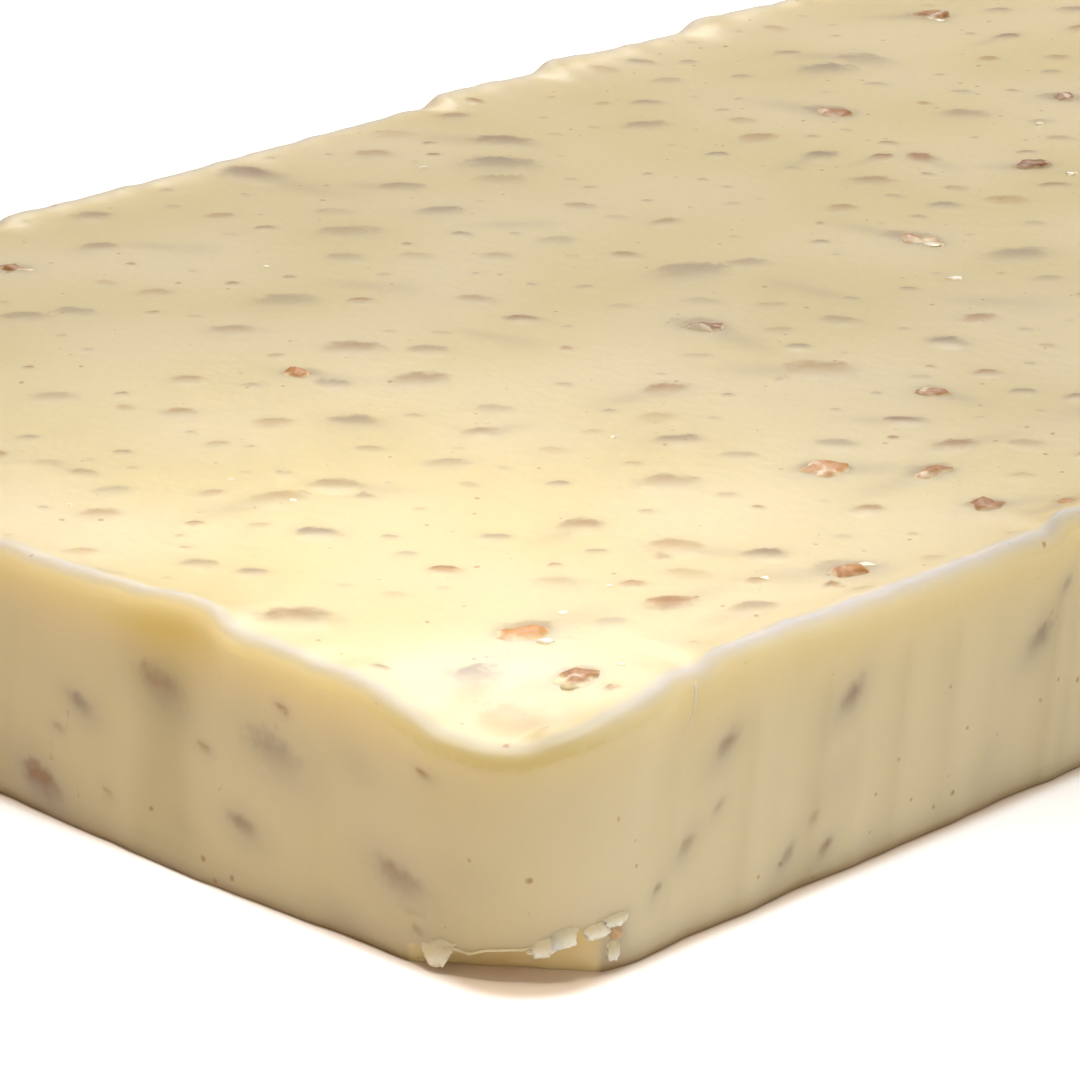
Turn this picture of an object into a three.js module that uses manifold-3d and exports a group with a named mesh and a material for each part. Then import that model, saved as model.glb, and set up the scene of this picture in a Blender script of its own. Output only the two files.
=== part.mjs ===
// A slab of white nut fudge, as it comes out of a lined baking tin. The corners are round, the rim
// crept up the liner in lips, the liner's pleats left flutes in the walls, chopped nuts break the
// top, and one bottom corner has torn away. Millimetres, +Z up, origin at the middle of the base.
import * as THREE from "three";
import { mergeVertices } from "three/addons/utils/BufferGeometryUtils.js";
import Module from "manifold-3d";

const wasm = await Module();
wasm.setup();

// Block
const LENGTH = 280;
const WIDTH = 180;
const TOP_LEVEL = 30.3;
const CORNER_RADIUS = 18;
const BASE_TUCK = 0.35;
const BASE_ROUND = 1.2;
const INNER_X = LENGTH / 2 - CORNER_RADIUS;
const INNER_Y = WIDTH / 2 - CORNER_RADIUS;

// Pleats of the liner: flutes counted along a long and a short wall, no two quite as deep
const FLUTES_LONG = 14;
const FLUTES_SHORT = 8;
const FLUTE_UNEVENNESS = 0.3;
const FLUTE_DRIFT = 2.3;
const STATIONS_PER_FLUTE = 3;
const STATIONS_PER_CORNER = 6;

// Distance round the outline, counter-clockwise from where the front wall starts at the left
const CORNER_ARC = (Math.PI / 2) * CORNER_RADIUS;
const RIGHT_START = 2 * INNER_X + CORNER_ARC;
const BACK_START = RIGHT_START + 2 * INNER_Y + CORNER_ARC;
const LEFT_START = BACK_START + 2 * INNER_X + CORNER_ARC;
const PERIMETER = LEFT_START + 2 * INNER_Y + CORNER_ARC;
const alongFront = (x) => x + INNER_X;
const alongRight = (y) => RIGHT_START + y + INNER_Y;
const alongBack = (x) => BACK_START + INNER_X - x;
const alongLeft = (y) => LEFT_START + INNER_Y - y;

// Walls in that order, each a quarter turn after the last, with the depth of their flutes
const WALLS = [
  { from: [-INNER_X, -INNER_Y], run: 2 * INNER_X, start: 0, flutes: FLUTES_LONG, depth: 0.55 },
  { from: [INNER_X, -INNER_Y], run: 2 * INNER_Y, start: RIGHT_START, flutes: FLUTES_SHORT, depth: 0.45 },
  { from: [INNER_X, INNER_Y], run: 2 * INNER_X, start: BACK_START, flutes: FLUTES_LONG, depth: 0.5 },
  { from: [-INNER_X, INNER_Y], run: 2 * INNER_Y, start: LEFT_START, flutes: FLUTES_SHORT, depth: 0.25 },
];

// Rim: its rise above the top, the round of its edge, and the width over which it falls inwards
const RIM_RISE = 0.9;
const RIM_ROUND = 0.9;
const RIM_FALL = 1.9;
const RIM_RINGS = [RIM_ROUND, 2.6, 6, 11, CORNER_RADIUS];
const WALL_SHARES = [0.32, 0.58, 0.82];

// Lips of the rim. Each steps up at a fold of the liner, then sinks over its reach, which is
// negative where it sinks towards the outline's start.
const LIP_STEP = 4.5;
const LIPS = [
  { at: alongFront(-110), rise: 1.6, reach: 44 },
  { at: alongFront(-52), rise: 1.6, reach: 26 },
  { at: alongFront(4), rise: 1.3, reach: 34 },
  { at: alongFront(70), rise: 1.5, reach: 30 },
  { at: alongRight(-30), rise: 1.2, reach: 28 },
  { at: alongRight(31), rise: 1.5, reach: 24 },
  { at: alongBack(78), rise: 1.7, reach: -26 },
  { at: alongBack(47), rise: 1.6, reach: -20 },
  { at: alongBack(23), rise: 1.9, reach: -16 },
  { at: alongBack(-58), rise: 1.1, reach: -34 },
  { at: alongLeft(44), rise: 1.3, reach: -26 },
  { at: alongLeft(-41.5), rise: 1.9, reach: -17 },
];

// Creases that run down the walls under some folds, and the two end walls' outward bows. Each has
// its depth into the wall at the rim and at the base, and leans along the wall as it goes down.
const CREASES = [
  { at: alongFront(-114), atRim: 0.9, atBase: 0, width: 3.5, lean: 0.5 },
  { at: alongFront(70), atRim: 0.8, atBase: 0.2, width: 4, lean: -0.3 },
  { at: alongRight(31), atRim: 0.9, atBase: 0.1, width: 5, lean: 0.2 },
  { at: alongBack(23), atRim: 0.9, atBase: 0.2, width: 5, lean: 0.3 },
  { at: alongLeft(44), atRim: 0.8, atBase: 0.1, width: 5, lean: 0.2 },
  { at: alongLeft(-35), atRim: 1.1, atBase: 0, width: 7, lean: 0 },
  { at: alongRight(12), atRim: 0, atBase: -1.3, width: 24, lean: 0 },
  { at: alongLeft(-36), atRim: 0, atBase: -1.3, width: 24, lean: 0 },
];

// Where the set top sagged at the corners
const SAG_REACH = 14;
const SAGS = [
  { x: -LENGTH / 2, y: -WIDTH / 2 + 6, depth: 4.4 },
  { x: LENGTH / 2, y: -WIDTH / 2, depth: 1.6 },
  { x: LENGTH / 2, y: WIDTH / 2, depth: 2.2 },
  { x: -LENGTH / 2, y: WIDTH / 2, depth: 1.4 },
];
const SWELL = { height: 0.3, alongX: 78, alongY: 62 };

// Torn bottom corner: where the tear meets the left and the front wall, measured from the sharp
// corner, and the height of its ragged upper edge along the way from left to right
const TEAR_LEFT = 18;
const TEAR_FRONT = 13.2;
const TEAR_REACH = 14;
const TEAR_EDGE = [
  [-3, 2.1], [1.5, 2.4], [4, 3.2], [7, 2.9], [10.5, 3.7], [14, 3.9], [16.5, 4.9], [19, 5.4], [26, 6.4],
];
const FLAKES = [
  { along: 2.2, height: 2.5, width: 3, drop: 2.6 },
  { along: 14.6, height: 4, width: 3.6, drop: 2 },
  { along: 19.4, height: 5.4, width: 4, drop: 1.6 },
];
const FLAKE_THICKNESS = 1.8;

// Chopped nuts that break the top: the ones that stand out, as place and length, and the pitch of
// the grid that scatters the others between them
const NUTS = [
  [60, 44, 8], [89, 26, 6.5], [61, 7, 5], [43, 31, 5.5], [49, 25, 4], [53, 21, 4.5], [23, -3, 8],
  [-25, -9, 8.5], [-46, -22, 6], [-23, -46, 4.5], [-34, -51, 4.5], [-37, -61, 5.5], [-55, -56, 6.5],
  [-47, -65, 7.5], [-50, -77, 5], [-78, -80, 9], [-100, -73, 5.5], [-121, -79, 5], [-131, -79, 7],
  [-117, -67, 7], [-132, -47, 8.5], [-126, -69, 9], [-73, -17, 4.5], [-99, -19, 6], [-107, -17, 6.5],
  [-73, 14, 6], [-70, 72, 5.5], [-18, 81, 10], [-8, 62, 5.5], [17, 67, 8], [110, 69, 6], [110, 53, 4.5],
  [-88, -48, 5], [-86, -61, 6], [-27, -31, 8], [-95, -81, 5], [-44, -84, 4.5], [-134, -13, 4], [-116, 6, 4],
];
const NUT_PITCH = 28;
const NUT_CLEARANCE = 20;
const NUT_EDGE = 12;
const NUT_LENGTH = { least: 4.5, spread: 4 };
const NUT_WIDTH = { least: 0.6, spread: 0.25 };
const NUT_HEIGHT = { least: 0.5, spread: 0.2 };
const NUT_STANDS = { least: 0.6, spread: 0.6 };
const NUT_SUNK_SHARE = 1.25;
const NUT_TILT = 0.5;
const NUT_HEADING = { middle: -0.8, spread: 1.8 };
const NUT_SEED = 20261;

const FUDGE_COLOUR = 0xead9a8;

// Points closer than this are one point
const WELD = 1e-4;

// A repeatable row of numbers between 0 and 1
function drawsFrom(seed) {
  let state = seed;
  return () => {
    state = (state * 16807) % 2147483647;
    return state / 2147483647;
  };
}

// Signed distance round the outline from one place to another, the short way
function distanceAlong(from, to) {
  const turns = (to - from) / PERIMETER;
  return (turns - Math.round(turns)) * PERIMETER;
}

// Evenly numbered places round the outline, each with its point on the inner rectangle, its outward
// direction, its distance round the outline and the depth of its flute
function outlineStations() {
  const stations = [];
  WALLS.forEach((wall, quarter) => {
    const turn = (quarter * Math.PI) / 2;
    const start = new THREE.Vector2(...wall.from);
    const forward = new THREE.Vector2(Math.cos(turn), Math.sin(turn));
    const outward = new THREE.Vector2(forward.y, -forward.x);
    const steps = wall.flutes * STATIONS_PER_FLUTE;
    for (let step = 0; step < steps; step += 1) {
      const distance = (wall.run * step) / steps;
      const inPleat = Math.abs(Math.sin((Math.PI * step) / STATIONS_PER_FLUTE));
      const pleat = Math.floor(step / STATIONS_PER_FLUTE);
      const shallower = FLUTE_UNEVENNESS * (1 - Math.sin(FLUTE_DRIFT * pleat + quarter));
      stations.push({
        anchor: start.clone().addScaledVector(forward, distance),
        outward,
        along: wall.start + distance,
        flute: wall.depth * inPleat * (1 - shallower),
      });
    }
    const corner = start.clone().addScaledVector(forward, wall.run);
    for (let step = 0; step < STATIONS_PER_CORNER; step += 1) {
      const share = step / STATIONS_PER_CORNER;
      stations.push({
        anchor: corner,
        outward: outward.clone().rotateAround(new THREE.Vector2(), (share * Math.PI) / 2),
        along: wall.start + wall.run + share * CORNER_ARC,
        flute: 0,
      });
    }
  });
  return stations;
}

// Drop of the set surface near the corners
function sagAt(x, y) {
  let sag = 0;
  for (const { x: sagX, y: sagY, depth } of SAGS) {
    sag += depth * Math.exp(-((Math.hypot(x - sagX, y - sagY) / SAG_REACH) ** 2));
  }
  return sag;
}

// Height of the top away from the rim
function topAt(x, y) {
  const swell = Math.sin((2 * Math.PI * x) / SWELL.alongX) * Math.sin((2 * Math.PI * y) / SWELL.alongY);
  return TOP_LEVEL + SWELL.height * swell - sagAt(x, y);
}

// Height of the rim's crest at one station
function crestAt(station) {
  let rise = RIM_RISE;
  for (const lip of LIPS) {
    const past = distanceAlong(lip.at, station.along) * Math.sign(lip.reach);
    const step = THREE.MathUtils.smoothstep(past, -LIP_STEP / 2, LIP_STEP / 2);
    rise += lip.rise * step * Math.exp(-Math.max(past, 0) / Math.abs(lip.reach));
  }
  const edge = station.anchor.clone().addScaledVector(station.outward, CORNER_RADIUS);
  return TOP_LEVEL + rise - sagAt(edge.x, edge.y);
}

// How far the wall stands in from the outline at one station and height
function wallInset(station, height) {
  let inset = station.flute;
  for (const crease of CREASES) {
    const centre = crease.at - crease.lean * (TOP_LEVEL - height);
    const depth = THREE.MathUtils.lerp(crease.atBase, crease.atRim, height / TOP_LEVEL);
    inset += depth * Math.exp(-((distanceAlong(centre, station.along) / crease.width) ** 2));
  }
  return inset + BASE_TUCK * Math.max(0, 1 - height / BASE_ROUND) ** 2;
}

// One closed ring of points round the slab
function ringOf(stations, insetAndHeight) {
  return stations.map((station) => {
    const [inset, height] = insetAndHeight(station);
    const point = station.anchor.clone().addScaledVector(station.outward, CORNER_RADIUS - inset);
    return new THREE.Vector3(point.x, point.y, height);
  });
}

// Rings from the base edge up the wall, over the rim's crest and in to the inner rectangle
function slabRings(stations) {
  const wallTop = (station) => crestAt(station) - RIM_ROUND;
  const wallRing = (heightOf) =>
    ringOf(stations, (station) => [wallInset(station, heightOf(station)), heightOf(station)]);
  const rings = [wallRing(() => 0), wallRing(() => BASE_ROUND)];
  for (const share of WALL_SHARES) {
    rings.push(wallRing((station) => share * wallTop(station)));
  }
  rings.push(wallRing(wallTop));
  for (const inward of RIM_RINGS) {
    const ring = ringOf(stations, (station) => {
      const offset = wallInset(station, wallTop(station)) * (1 - inward / CORNER_RADIUS);
      return [inward + offset, crestAt(station)];
    });
    const crestShare = inward < CORNER_RADIUS ? Math.exp(-(inward - RIM_ROUND) / RIM_FALL) : 0;
    for (const point of ring) {
      point.z = THREE.MathUtils.lerp(topAt(point.x, point.y), point.z, crestShare);
    }
    rings.push(ring);
  }
  return rings;
}

// The plain block with its rim, flutes and creases
function slabGeometry() {
  const corners = [];
  const addTriangle = (a, b, c) => {
    const shortest = Math.min(a.distanceTo(b), b.distanceTo(c), c.distanceTo(a));
    if (shortest > WELD) corners.push(a, b, c);
  };
  const rings = slabRings(outlineStations());
  for (let level = 0; level + 1 < rings.length; level += 1) {
    const lower = rings[level];
    const upper = rings[level + 1];
    for (let index = 0; index < lower.length; index += 1) {
      const next = (index + 1) % lower.length;
      addTriangle(lower[index], lower[next], upper[next]);
      addTriangle(lower[index], upper[next], upper[index]);
    }
  }
  for (const [a, b, c] of THREE.ShapeUtils.triangulateShape(rings[0], [])) {
    addTriangle(rings[0][a], rings[0][c], rings[0][b]);
  }
  const stepsX = FLUTES_LONG * STATIONS_PER_FLUTE;
  const stepsY = FLUTES_SHORT * STATIONS_PER_FLUTE;
  const field = new THREE.PlaneGeometry(2 * INNER_X, 2 * INNER_Y, stepsX, stepsY).toNonIndexed();
  const places = field.getAttribute("position");
  const points = [];
  for (let index = 0; index < places.count; index += 1) {
    const point = new THREE.Vector3().fromBufferAttribute(places, index);
    points.push(point.setZ(topAt(point.x, point.y)));
  }
  for (let index = 0; index < points.length; index += 3) {
    addTriangle(points[index], points[index + 1], points[index + 2]);
  }
  return new THREE.BufferGeometry().setFromPoints(corners);
}

// The tear's own directions: along it from left to right, up, and out towards the sharp corner
function tearFrame() {
  const start = new THREE.Vector3(-LENGTH / 2, -WIDTH / 2 + TEAR_LEFT, 0);
  const end = new THREE.Vector3(-LENGTH / 2 + TEAR_FRONT, -WIDTH / 2, 0);
  const along = end.sub(start).normalize();
  const up = new THREE.Vector3(0, 0, 1);
  const out = new THREE.Vector3().crossVectors(along, up);
  return new THREE.Matrix4().makeBasis(along, up, out).setPosition(start);
}

// What the tear took away: everything outside its line, up to its ragged edge
function tearGeometry() {
  const first = TEAR_EDGE[0];
  const last = TEAR_EDGE[TEAR_EDGE.length - 1];
  const outline = [[first[0], -1], [last[0], -1], ...TEAR_EDGE.toReversed()];
  const shape = new THREE.Shape(outline.map(([along, height]) => new THREE.Vector2(along, height)));
  const taken = new THREE.ExtrudeGeometry(shape, { depth: TEAR_REACH, bevelEnabled: false });
  return taken.applyMatrix4(tearFrame());
}

// A flake that still hangs from the wall at the ragged edge
function flakeGeometry({ along, height, width, drop }) {
  const frame = tearFrame();
  const centre = new THREE.Vector3(-INNER_X, -INNER_Y, 0).applyMatrix4(frame.clone().invert());
  const wallOut = centre.z + Math.sqrt(CORNER_RADIUS ** 2 - (along - centre.x) ** 2);
  const flake = new THREE.OctahedronGeometry(1);
  flake.scale(width / 2, drop / 2, FLAKE_THICKNESS / 2);
  flake.translate(along, height, wallOut - FLAKE_THICKNESS / 2);
  return flake.applyMatrix4(frame);
}

// Places and lengths of all nuts: the ones that stand out, then a loose grid between them
function nutPlaces(draw) {
  const places = NUTS.map(([x, y, length]) => ({ x, y, length }));
  const columns = Math.floor((LENGTH - 2 * NUT_EDGE) / NUT_PITCH);
  const rows = Math.floor((WIDTH - 2 * NUT_EDGE) / NUT_PITCH);
  for (let column = 0; column < columns; column += 1) {
    for (let row = 0; row < rows; row += 1) {
      const x = (column + draw() - columns / 2) * NUT_PITCH;
      const y = (row + draw() - rows / 2) * NUT_PITCH;
      const length = NUT_LENGTH.least + NUT_LENGTH.spread * draw();
      const clear = places.every((place) => Math.hypot(place.x - x, place.y - y) > NUT_CLEARANCE);
      if (clear) places.push({ x, y, length });
    }
  }
  return places;
}

// One chopped nut, half sunk in the top
function nutGeometry({ x, y, length }, draw) {
  const width = length * (NUT_WIDTH.least + NUT_WIDTH.spread * draw());
  const height = length * (NUT_HEIGHT.least + NUT_HEIGHT.spread * draw());
  const stands = NUT_STANDS.least + NUT_STANDS.spread * draw();
  const nut = new THREE.DodecahedronGeometry(NUT_SUNK_SHARE);
  nut.scale(length / 2, width / 2, height / 2);
  nut.rotateX(NUT_TILT * (draw() - 0.5));
  nut.rotateY(NUT_TILT * (draw() - 0.5));
  nut.rotateZ(NUT_HEADING.middle + NUT_HEADING.spread * (draw() - 0.5));
  return nut.translate(x, y, topAt(x, y) + stands - height / 2);
}

function solidFrom(geometry) {
  const bare = geometry.clone();
  bare.deleteAttribute("normal");
  bare.deleteAttribute("uv");
  const merged = mergeVertices(bare, WELD);
  return new wasm.Manifold(
    new wasm.Mesh({
      numProp: 3,
      vertProperties: new Float32Array(merged.getAttribute("position").array),
      triVerts: new Uint32Array(merged.getIndex().array),
    }),
  );
}

function geometryFrom(solid) {
  const mesh = solid.getMesh();
  const geometry = new THREE.BufferGeometry();
  geometry.setAttribute("position", new THREE.BufferAttribute(mesh.vertProperties, 3));
  geometry.setIndex(new THREE.BufferAttribute(mesh.triVerts, 1));
  geometry.computeVertexNormals();
  return geometry;
}

function fudgeSlab() {
  const draw = drawsFrom(NUT_SEED);
  let solid = solidFrom(slabGeometry()).subtract(solidFrom(tearGeometry()));
  for (const flake of FLAKES) {
    solid = solid.add(solidFrom(flakeGeometry(flake)));
  }
  for (const place of nutPlaces(draw)) {
    solid = solid.add(solidFrom(nutGeometry(place, draw)));
  }
  const material = new THREE.MeshStandardMaterial({ color: FUDGE_COLOUR, roughness: 0.45, metalness: 0 });
  const slab = new THREE.Mesh(geometryFrom(solid), material);
  slab.name = "fudge_slab";
  return slab;
}

const part = new THREE.Group();
part.add(fudgeSlab());

export default part;
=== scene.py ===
"""A slab of white nut fudge on a pale floor, laid out as a Blender add-on and run as a script."""
import math
from dataclasses import dataclass

import bmesh
import bpy
import numpy as np
from bpy.props import FloatProperty
from bpy.props import FloatVectorProperty
from bpy.props import IntProperty
from bpy.props import PointerProperty
from mathutils import Euler
from mathutils import Matrix
from mathutils import Vector
from mathutils import noise


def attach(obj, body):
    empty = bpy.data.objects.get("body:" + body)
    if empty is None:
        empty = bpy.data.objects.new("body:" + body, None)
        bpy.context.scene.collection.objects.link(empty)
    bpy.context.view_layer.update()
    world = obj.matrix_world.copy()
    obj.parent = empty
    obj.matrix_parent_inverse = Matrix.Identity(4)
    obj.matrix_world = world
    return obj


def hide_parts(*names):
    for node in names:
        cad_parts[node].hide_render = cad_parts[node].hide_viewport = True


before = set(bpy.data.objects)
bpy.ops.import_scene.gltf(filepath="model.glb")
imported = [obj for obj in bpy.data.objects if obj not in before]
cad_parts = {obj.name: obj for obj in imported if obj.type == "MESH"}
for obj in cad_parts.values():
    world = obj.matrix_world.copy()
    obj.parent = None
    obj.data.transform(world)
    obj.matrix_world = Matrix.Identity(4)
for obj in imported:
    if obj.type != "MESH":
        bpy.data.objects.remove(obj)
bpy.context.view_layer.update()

bl_info = {
    "name": "White nut fudge slab",
    "version": (1, 0, 0),
    "blender": (4, 5, 0),
    "location": "View3D > Sidebar > Fudge",
    "description": "Pours a slab of nut fudge, presses its nuts in, tears its corner and lights it",
    "category": "Add Mesh",
}

MM = 0.001
SLAB_NODE = "fudge_slab"
ROOT_BODY = "root"


def linear(hex_colour):
    """An sRGB hex colour as linear red, green and blue."""
    channels = [int(hex_colour[place:place + 2], 16) / 255 for place in (1, 3, 5)]
    return tuple(c / 12.92 if c <= 0.04045 else ((c + 0.055) / 1.055) ** 2.4 for c in channels)


# Sizes and colours that a user would change


class FudgeSizes(bpy.types.PropertyGroup):
    """Sizes of the slab."""

    length: FloatProperty(name="Length", description="Slab along X", default=280 * MM, unit="LENGTH")
    width: FloatProperty(name="Width", description="Slab along Y", default=180 * MM, unit="LENGTH")
    top_level: FloatProperty(name="Top", description="Floor to top", default=30.3 * MM, unit="LENGTH")
    corner_radius: FloatProperty(
        name="Corner radius", description="Round of the corners in plan", default=18 * MM, unit="LENGTH"
    )
    rim_rise: FloatProperty(
        name="Rim rise", description="Rim above the top", default=0.1 * MM, unit="LENGTH"
    )
    rim_round: FloatProperty(
        name="Rim round", description="Radius of the rim's edge", default=2 * MM, unit="LENGTH"
    )
    rim_fall: FloatProperty(
        name="Rim fall", description="Width over which the rim sinks inwards", default=3 * MM, unit="LENGTH"
    )
    base_tuck: FloatProperty(
        name="Base tuck", description="How far the base edge is drawn in", default=0.3 * MM, unit="LENGTH"
    )
    base_round: FloatProperty(
        name="Base round", description="Height of the drawn-in edge", default=1 * MM, unit="LENGTH"
    )
    lines_long: IntProperty(name="Lines along", description="Mesh steps along the slab", default=308)
    lines_across: IntProperty(name="Lines across", description="Mesh steps across the slab", default=200)


class FudgeColours(bpy.types.PropertyGroup):
    """Colours of the fudge and its nuts, and of the painted light and shade on the fudge."""

    fudge: FloatVectorProperty(
        name="Fudge", description="Set fudge", default=linear("#C4B380"), subtype="COLOR"
    )
    milky: FloatVectorProperty(
        name="Milky", description="Paler clouds in the fudge", default=linear("#CBBB93"), subtype="COLOR"
    )
    # Painted glow of the light that comes through below the rim
    edge: FloatVectorProperty(
        name="Edge", description="Fudge where light comes through", default=linear("#DFCB90"), subtype="COLOR"
    )
    # Painted deeper glow under tall lips, on the walls and at the torn corner, and a warm tint low on the
    # left wall
    deep: FloatVectorProperty(
        name="Deep edge", description="Fudge under a tall lip", default=linear("#CFB35A"), subtype="COLOR"
    )
    # Painted soft reflection along the rim's crest
    rim: FloatVectorProperty(
        name="Rim", description="Thin rim of the fudge", default=linear("#A8A8B3"), subtype="COLOR"
    )
    # Painted paler than the set fudge: painted light on the torn face, which lies in shade under the overhang
    torn: FloatVectorProperty(
        name="Torn", description="Torn face of the fudge", default=linear("#E2CC94"), subtype="COLOR"
    )
    flake: FloatVectorProperty(
        name="Flake", description="Dry torn flakes", default=linear("#E2DAC6"), subtype="COLOR"
    )
    veil: FloatVectorProperty(
        name="Veiled nut", description="A nut deep in the top", default=linear("#8B7861"), subtype="COLOR"
    )
    veil_wall: FloatVectorProperty(
        name="Wall nut", description="A nut deep in a wall", default=linear("#84776B"), subtype="COLOR"
    )
    # Painted shade at the very base, where the wall meets the floor
    base: FloatVectorProperty(
        name="Base line", description="Fudge at the very base", default=linear("#987847"), subtype="COLOR"
    )
    # Painted shade in the flutes and folds, under lips, at the torn corner and down the left wall
    shade: FloatVectorProperty(
        name="Shade", description="Tint of the fudge in its folds", default=linear("#E7E5DB"), subtype="COLOR"
    )
    veil_skin: FloatVectorProperty(
        name="Veiled skin", description="Skin under the fudge", default=linear("#966C3A"), subtype="COLOR"
    )
    # Painted paler than the set fudge: painted light on the shaded sides of a bare nut
    film: FloatVectorProperty(
        name="Film", description="Fudge that clings to a bare nut", default=linear("#E2D4AE"), subtype="COLOR"
    )
    skin_dark: FloatVectorProperty(
        name="Dark skin", description="Darkest nut skin", default=linear("#7B5029"), subtype="COLOR"
    )
    skin_light: FloatVectorProperty(
        name="Light skin", description="Lightest nut skin", default=linear("#B37B37"), subtype="COLOR"
    )
    flesh: FloatVectorProperty(
        name="Flesh", description="Cut faces of the nuts", default=linear("#E5DCC9"), subtype="COLOR"
    )


class StageSettings(bpy.types.PropertyGroup):
    """Floor with its painted shadow, light and camera."""

    floor: FloatVectorProperty(
        name="Floor", description="Pale floor", default=linear("#FAF8F6"), subtype="COLOR"
    )
    # Warm shadow painted on the floor round the slab
    painted_shadow: FloatVectorProperty(
        name="Spill", description="Floor by the slab", default=linear("#D8C4AC"), subtype="COLOR"
    )
    glow: FloatProperty(name="Glow", description="Light from below the floor", default=0.25)
    sky: FloatProperty(name="Sky", description="Strength of the even light all round", default=0.56)
    sky_left: FloatVectorProperty(
        name="Left sky", description="Warm light from -X", default=linear("#FFE5CA"), subtype="COLOR"
    )
    sky_front: FloatVectorProperty(
        name="Front sky", description="Cool light from -Y", default=linear("#F2F8FF"), subtype="COLOR"
    )
    back_power: FloatProperty(name="Back light", description="Softbox behind", default=10.4, unit="POWER")
    near_power: FloatProperty(
        name="Near light", description="Small softbox over the near corner", default=0.04, unit="POWER"
    )
    front_power: FloatProperty(
        name="Front light", description="Softbox beside the front wall", default=2.0, unit="POWER"
    )
    lens: FloatProperty(name="Lens", description="Focal length in millimetres", default=191.07)
    pitch: FloatProperty(
        name="Pitch", description="Camera below the horizon", default=math.radians(20.28), subtype="ANGLE"
    )
    heading: FloatProperty(
        name="Heading", description="Camera's direction from +X", default=math.radians(44.05), subtype="ANGLE"
    )


# Form of the slab, in the same sizes as its solid

# Flutes of the walls: how many on a long and on a short wall, how deep on each wall, how uneven they are, and
# the step by which that changes from one to the next
FLUTES_LONG = 14
FLUTES_SHORT = 8
FLUTE_FRONT = 0.55 * MM
FLUTE_RIGHT = 0.45 * MM
FLUTE_BACK = 0.5 * MM
FLUTE_LEFT = 0.25 * MM
FLUTE_UNEVENNESS = 0.3
FLUTE_DRIFT = 2.3

# Length of the step up to a lip, reach of a sagged corner, and the top's low swells: height and wavelengths
LIP_STEP = 4.5 * MM
SAG_REACH = 14 * MM
SWELL_HEIGHT = 0.3 * MM
SWELL_X = 78 * MM
SWELL_Y = 62 * MM

# Lips of the rim: wall, place along it, rise and reach in millimetres, sinking backwards if negative
LIPS = [
    ("front", -110, 1.6, 44),
    ("front", -52, 1.6, 26),
    ("front", 4, 1.3, 34),
    ("front", 70, 1.5, 30),
    ("right", -30, 1.2, 28),
    ("right", 31, 1.5, 24),
    ("back", 78, 1.7, -26),
    ("back", 47, 1.6, -20),
    ("back", 23, 1.9, -16),
    ("back", -58, 1.1, -34),
    ("left", 44, 1.3, -26),
    ("left", -41.5, 1.9, -17),
]

# Creases and bows of the walls: wall, then place, depth at the rim and at the base and width in millimetres,
# and lean
CREASES = [
    ("front", -114, 0.9, 0, 3.5, 0.5),
    ("front", 70, 0.8, 0.2, 4, -0.3),
    ("right", 31, 0.9, 0.1, 5, 0.2),
    ("back", 23, 0.9, 0.2, 5, 0.3),
    ("left", 44, 0.8, 0.1, 5, 0.2),
    ("left", -35, 1.1, 0, 7, 0),
    ("right", 12, 0, -1.3, 24, 0),
    ("left", -36, 0, -1.3, 24, 0),
]

# Folds of the liner that shade the walls: wall, place in millimetres and strength. The rest are scattered at
# a pitch, most of them weaker than the strongest. All lean, show by one share, and fade slowly before the
# fold and fast behind it. Bands have a width after the place. All start and are full at two depths below the
# top
FOLDS = [
    ("front", -114.8, 0.45), ("front", -102.9, 0.7), ("front", -97, 0.35), ("front", -90.8, 0.9),
    ("front", -84.5, 0.4), ("front", -77.5, 0.8), ("front", -69, 0.75), ("front", -61, 0.45),
    ("front", -50.8, 1.0), ("left", -37, 0.6), ("left", -61, 0.2), ("left", -10, 0.2),
]
SHADE_BANDS = [("left", -34, 4.5, 1.0), ("front", -72, 2.5, 0.4)]
FOLD_PITCH = 9 * MM
FOLD_SEED = 77031
FOLD_STRONGEST = 0.7
FOLD_POWER = 1.5
FOLD_LEAN = 0.14
FOLD_WIDTH = 3.2 * MM
FOLD_EDGE = 1.2 * MM
FOLD_SHOWS = 0.75
FOLD_START = 2 * MM
FOLD_FULL = 9 * MM

# How far round from the photo's corner the walls' own marks are listed and not scattered
PHOTO_REACH = 78 * MM

# Fine ripples that the liner left: waves round the whole outline, then depth in the wall and height of the
# rim in millimetres
RIPPLES = [(61, 0.04, 0.05), (97, 0.04, 0.06), (151, 0.03, 0.05)]

# Sagged corners: signs of X and Y, shift along Y and depth in millimetres
SAGS = [(-1, -1, 6, 4.4), (1, -1, 0, 1.6), (1, 1, 0, 2.2), (-1, 1, 0, 1.4)]

# Torn bottom corner, in millimetres: where it meets the walls, and its ragged edge as place and height
TEAR_LEFT = 18 * MM
TEAR_FRONT = 13.2 * MM
TEAR_EDGE = [
    (-3, 2.1), (1.5, 2.4), (4, 3.2), (7, 2.9), (10.5, 3.7), (14, 3.9), (16.5, 4.9), (19, 5.4), (26, 6.4),
]

# Two fine waves that make its edge ragged, and the depth of the tear at which they are full
TEAR_RAGGED = 0.08 * MM
TEAR_SHORT_WAVE = 0.43 * MM
TEAR_LONG_WAVE = 0.71 * MM
TEAR_BLEND = 1 * MM

# Lumps of its face: their depth, and the two waves that cross in them, as a length in millimetres and a turn
TEAR_ROUGH = 0.16 * MM
TEAR_LUMPS = [(0.9, 7), (2.3, -5)]

# The gap between its edge and its face, and the depths between which the wall comes to look torn
TEAR_GAP = 0.3 * MM
TORN_START = 0.02 * MM
TORN_FULL = 0.5 * MM

# How a place along it is looked up: how far past its ends, and in how many steps
TEAR_PAST = 4 * MM
TEAR_STEPS = 400

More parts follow.
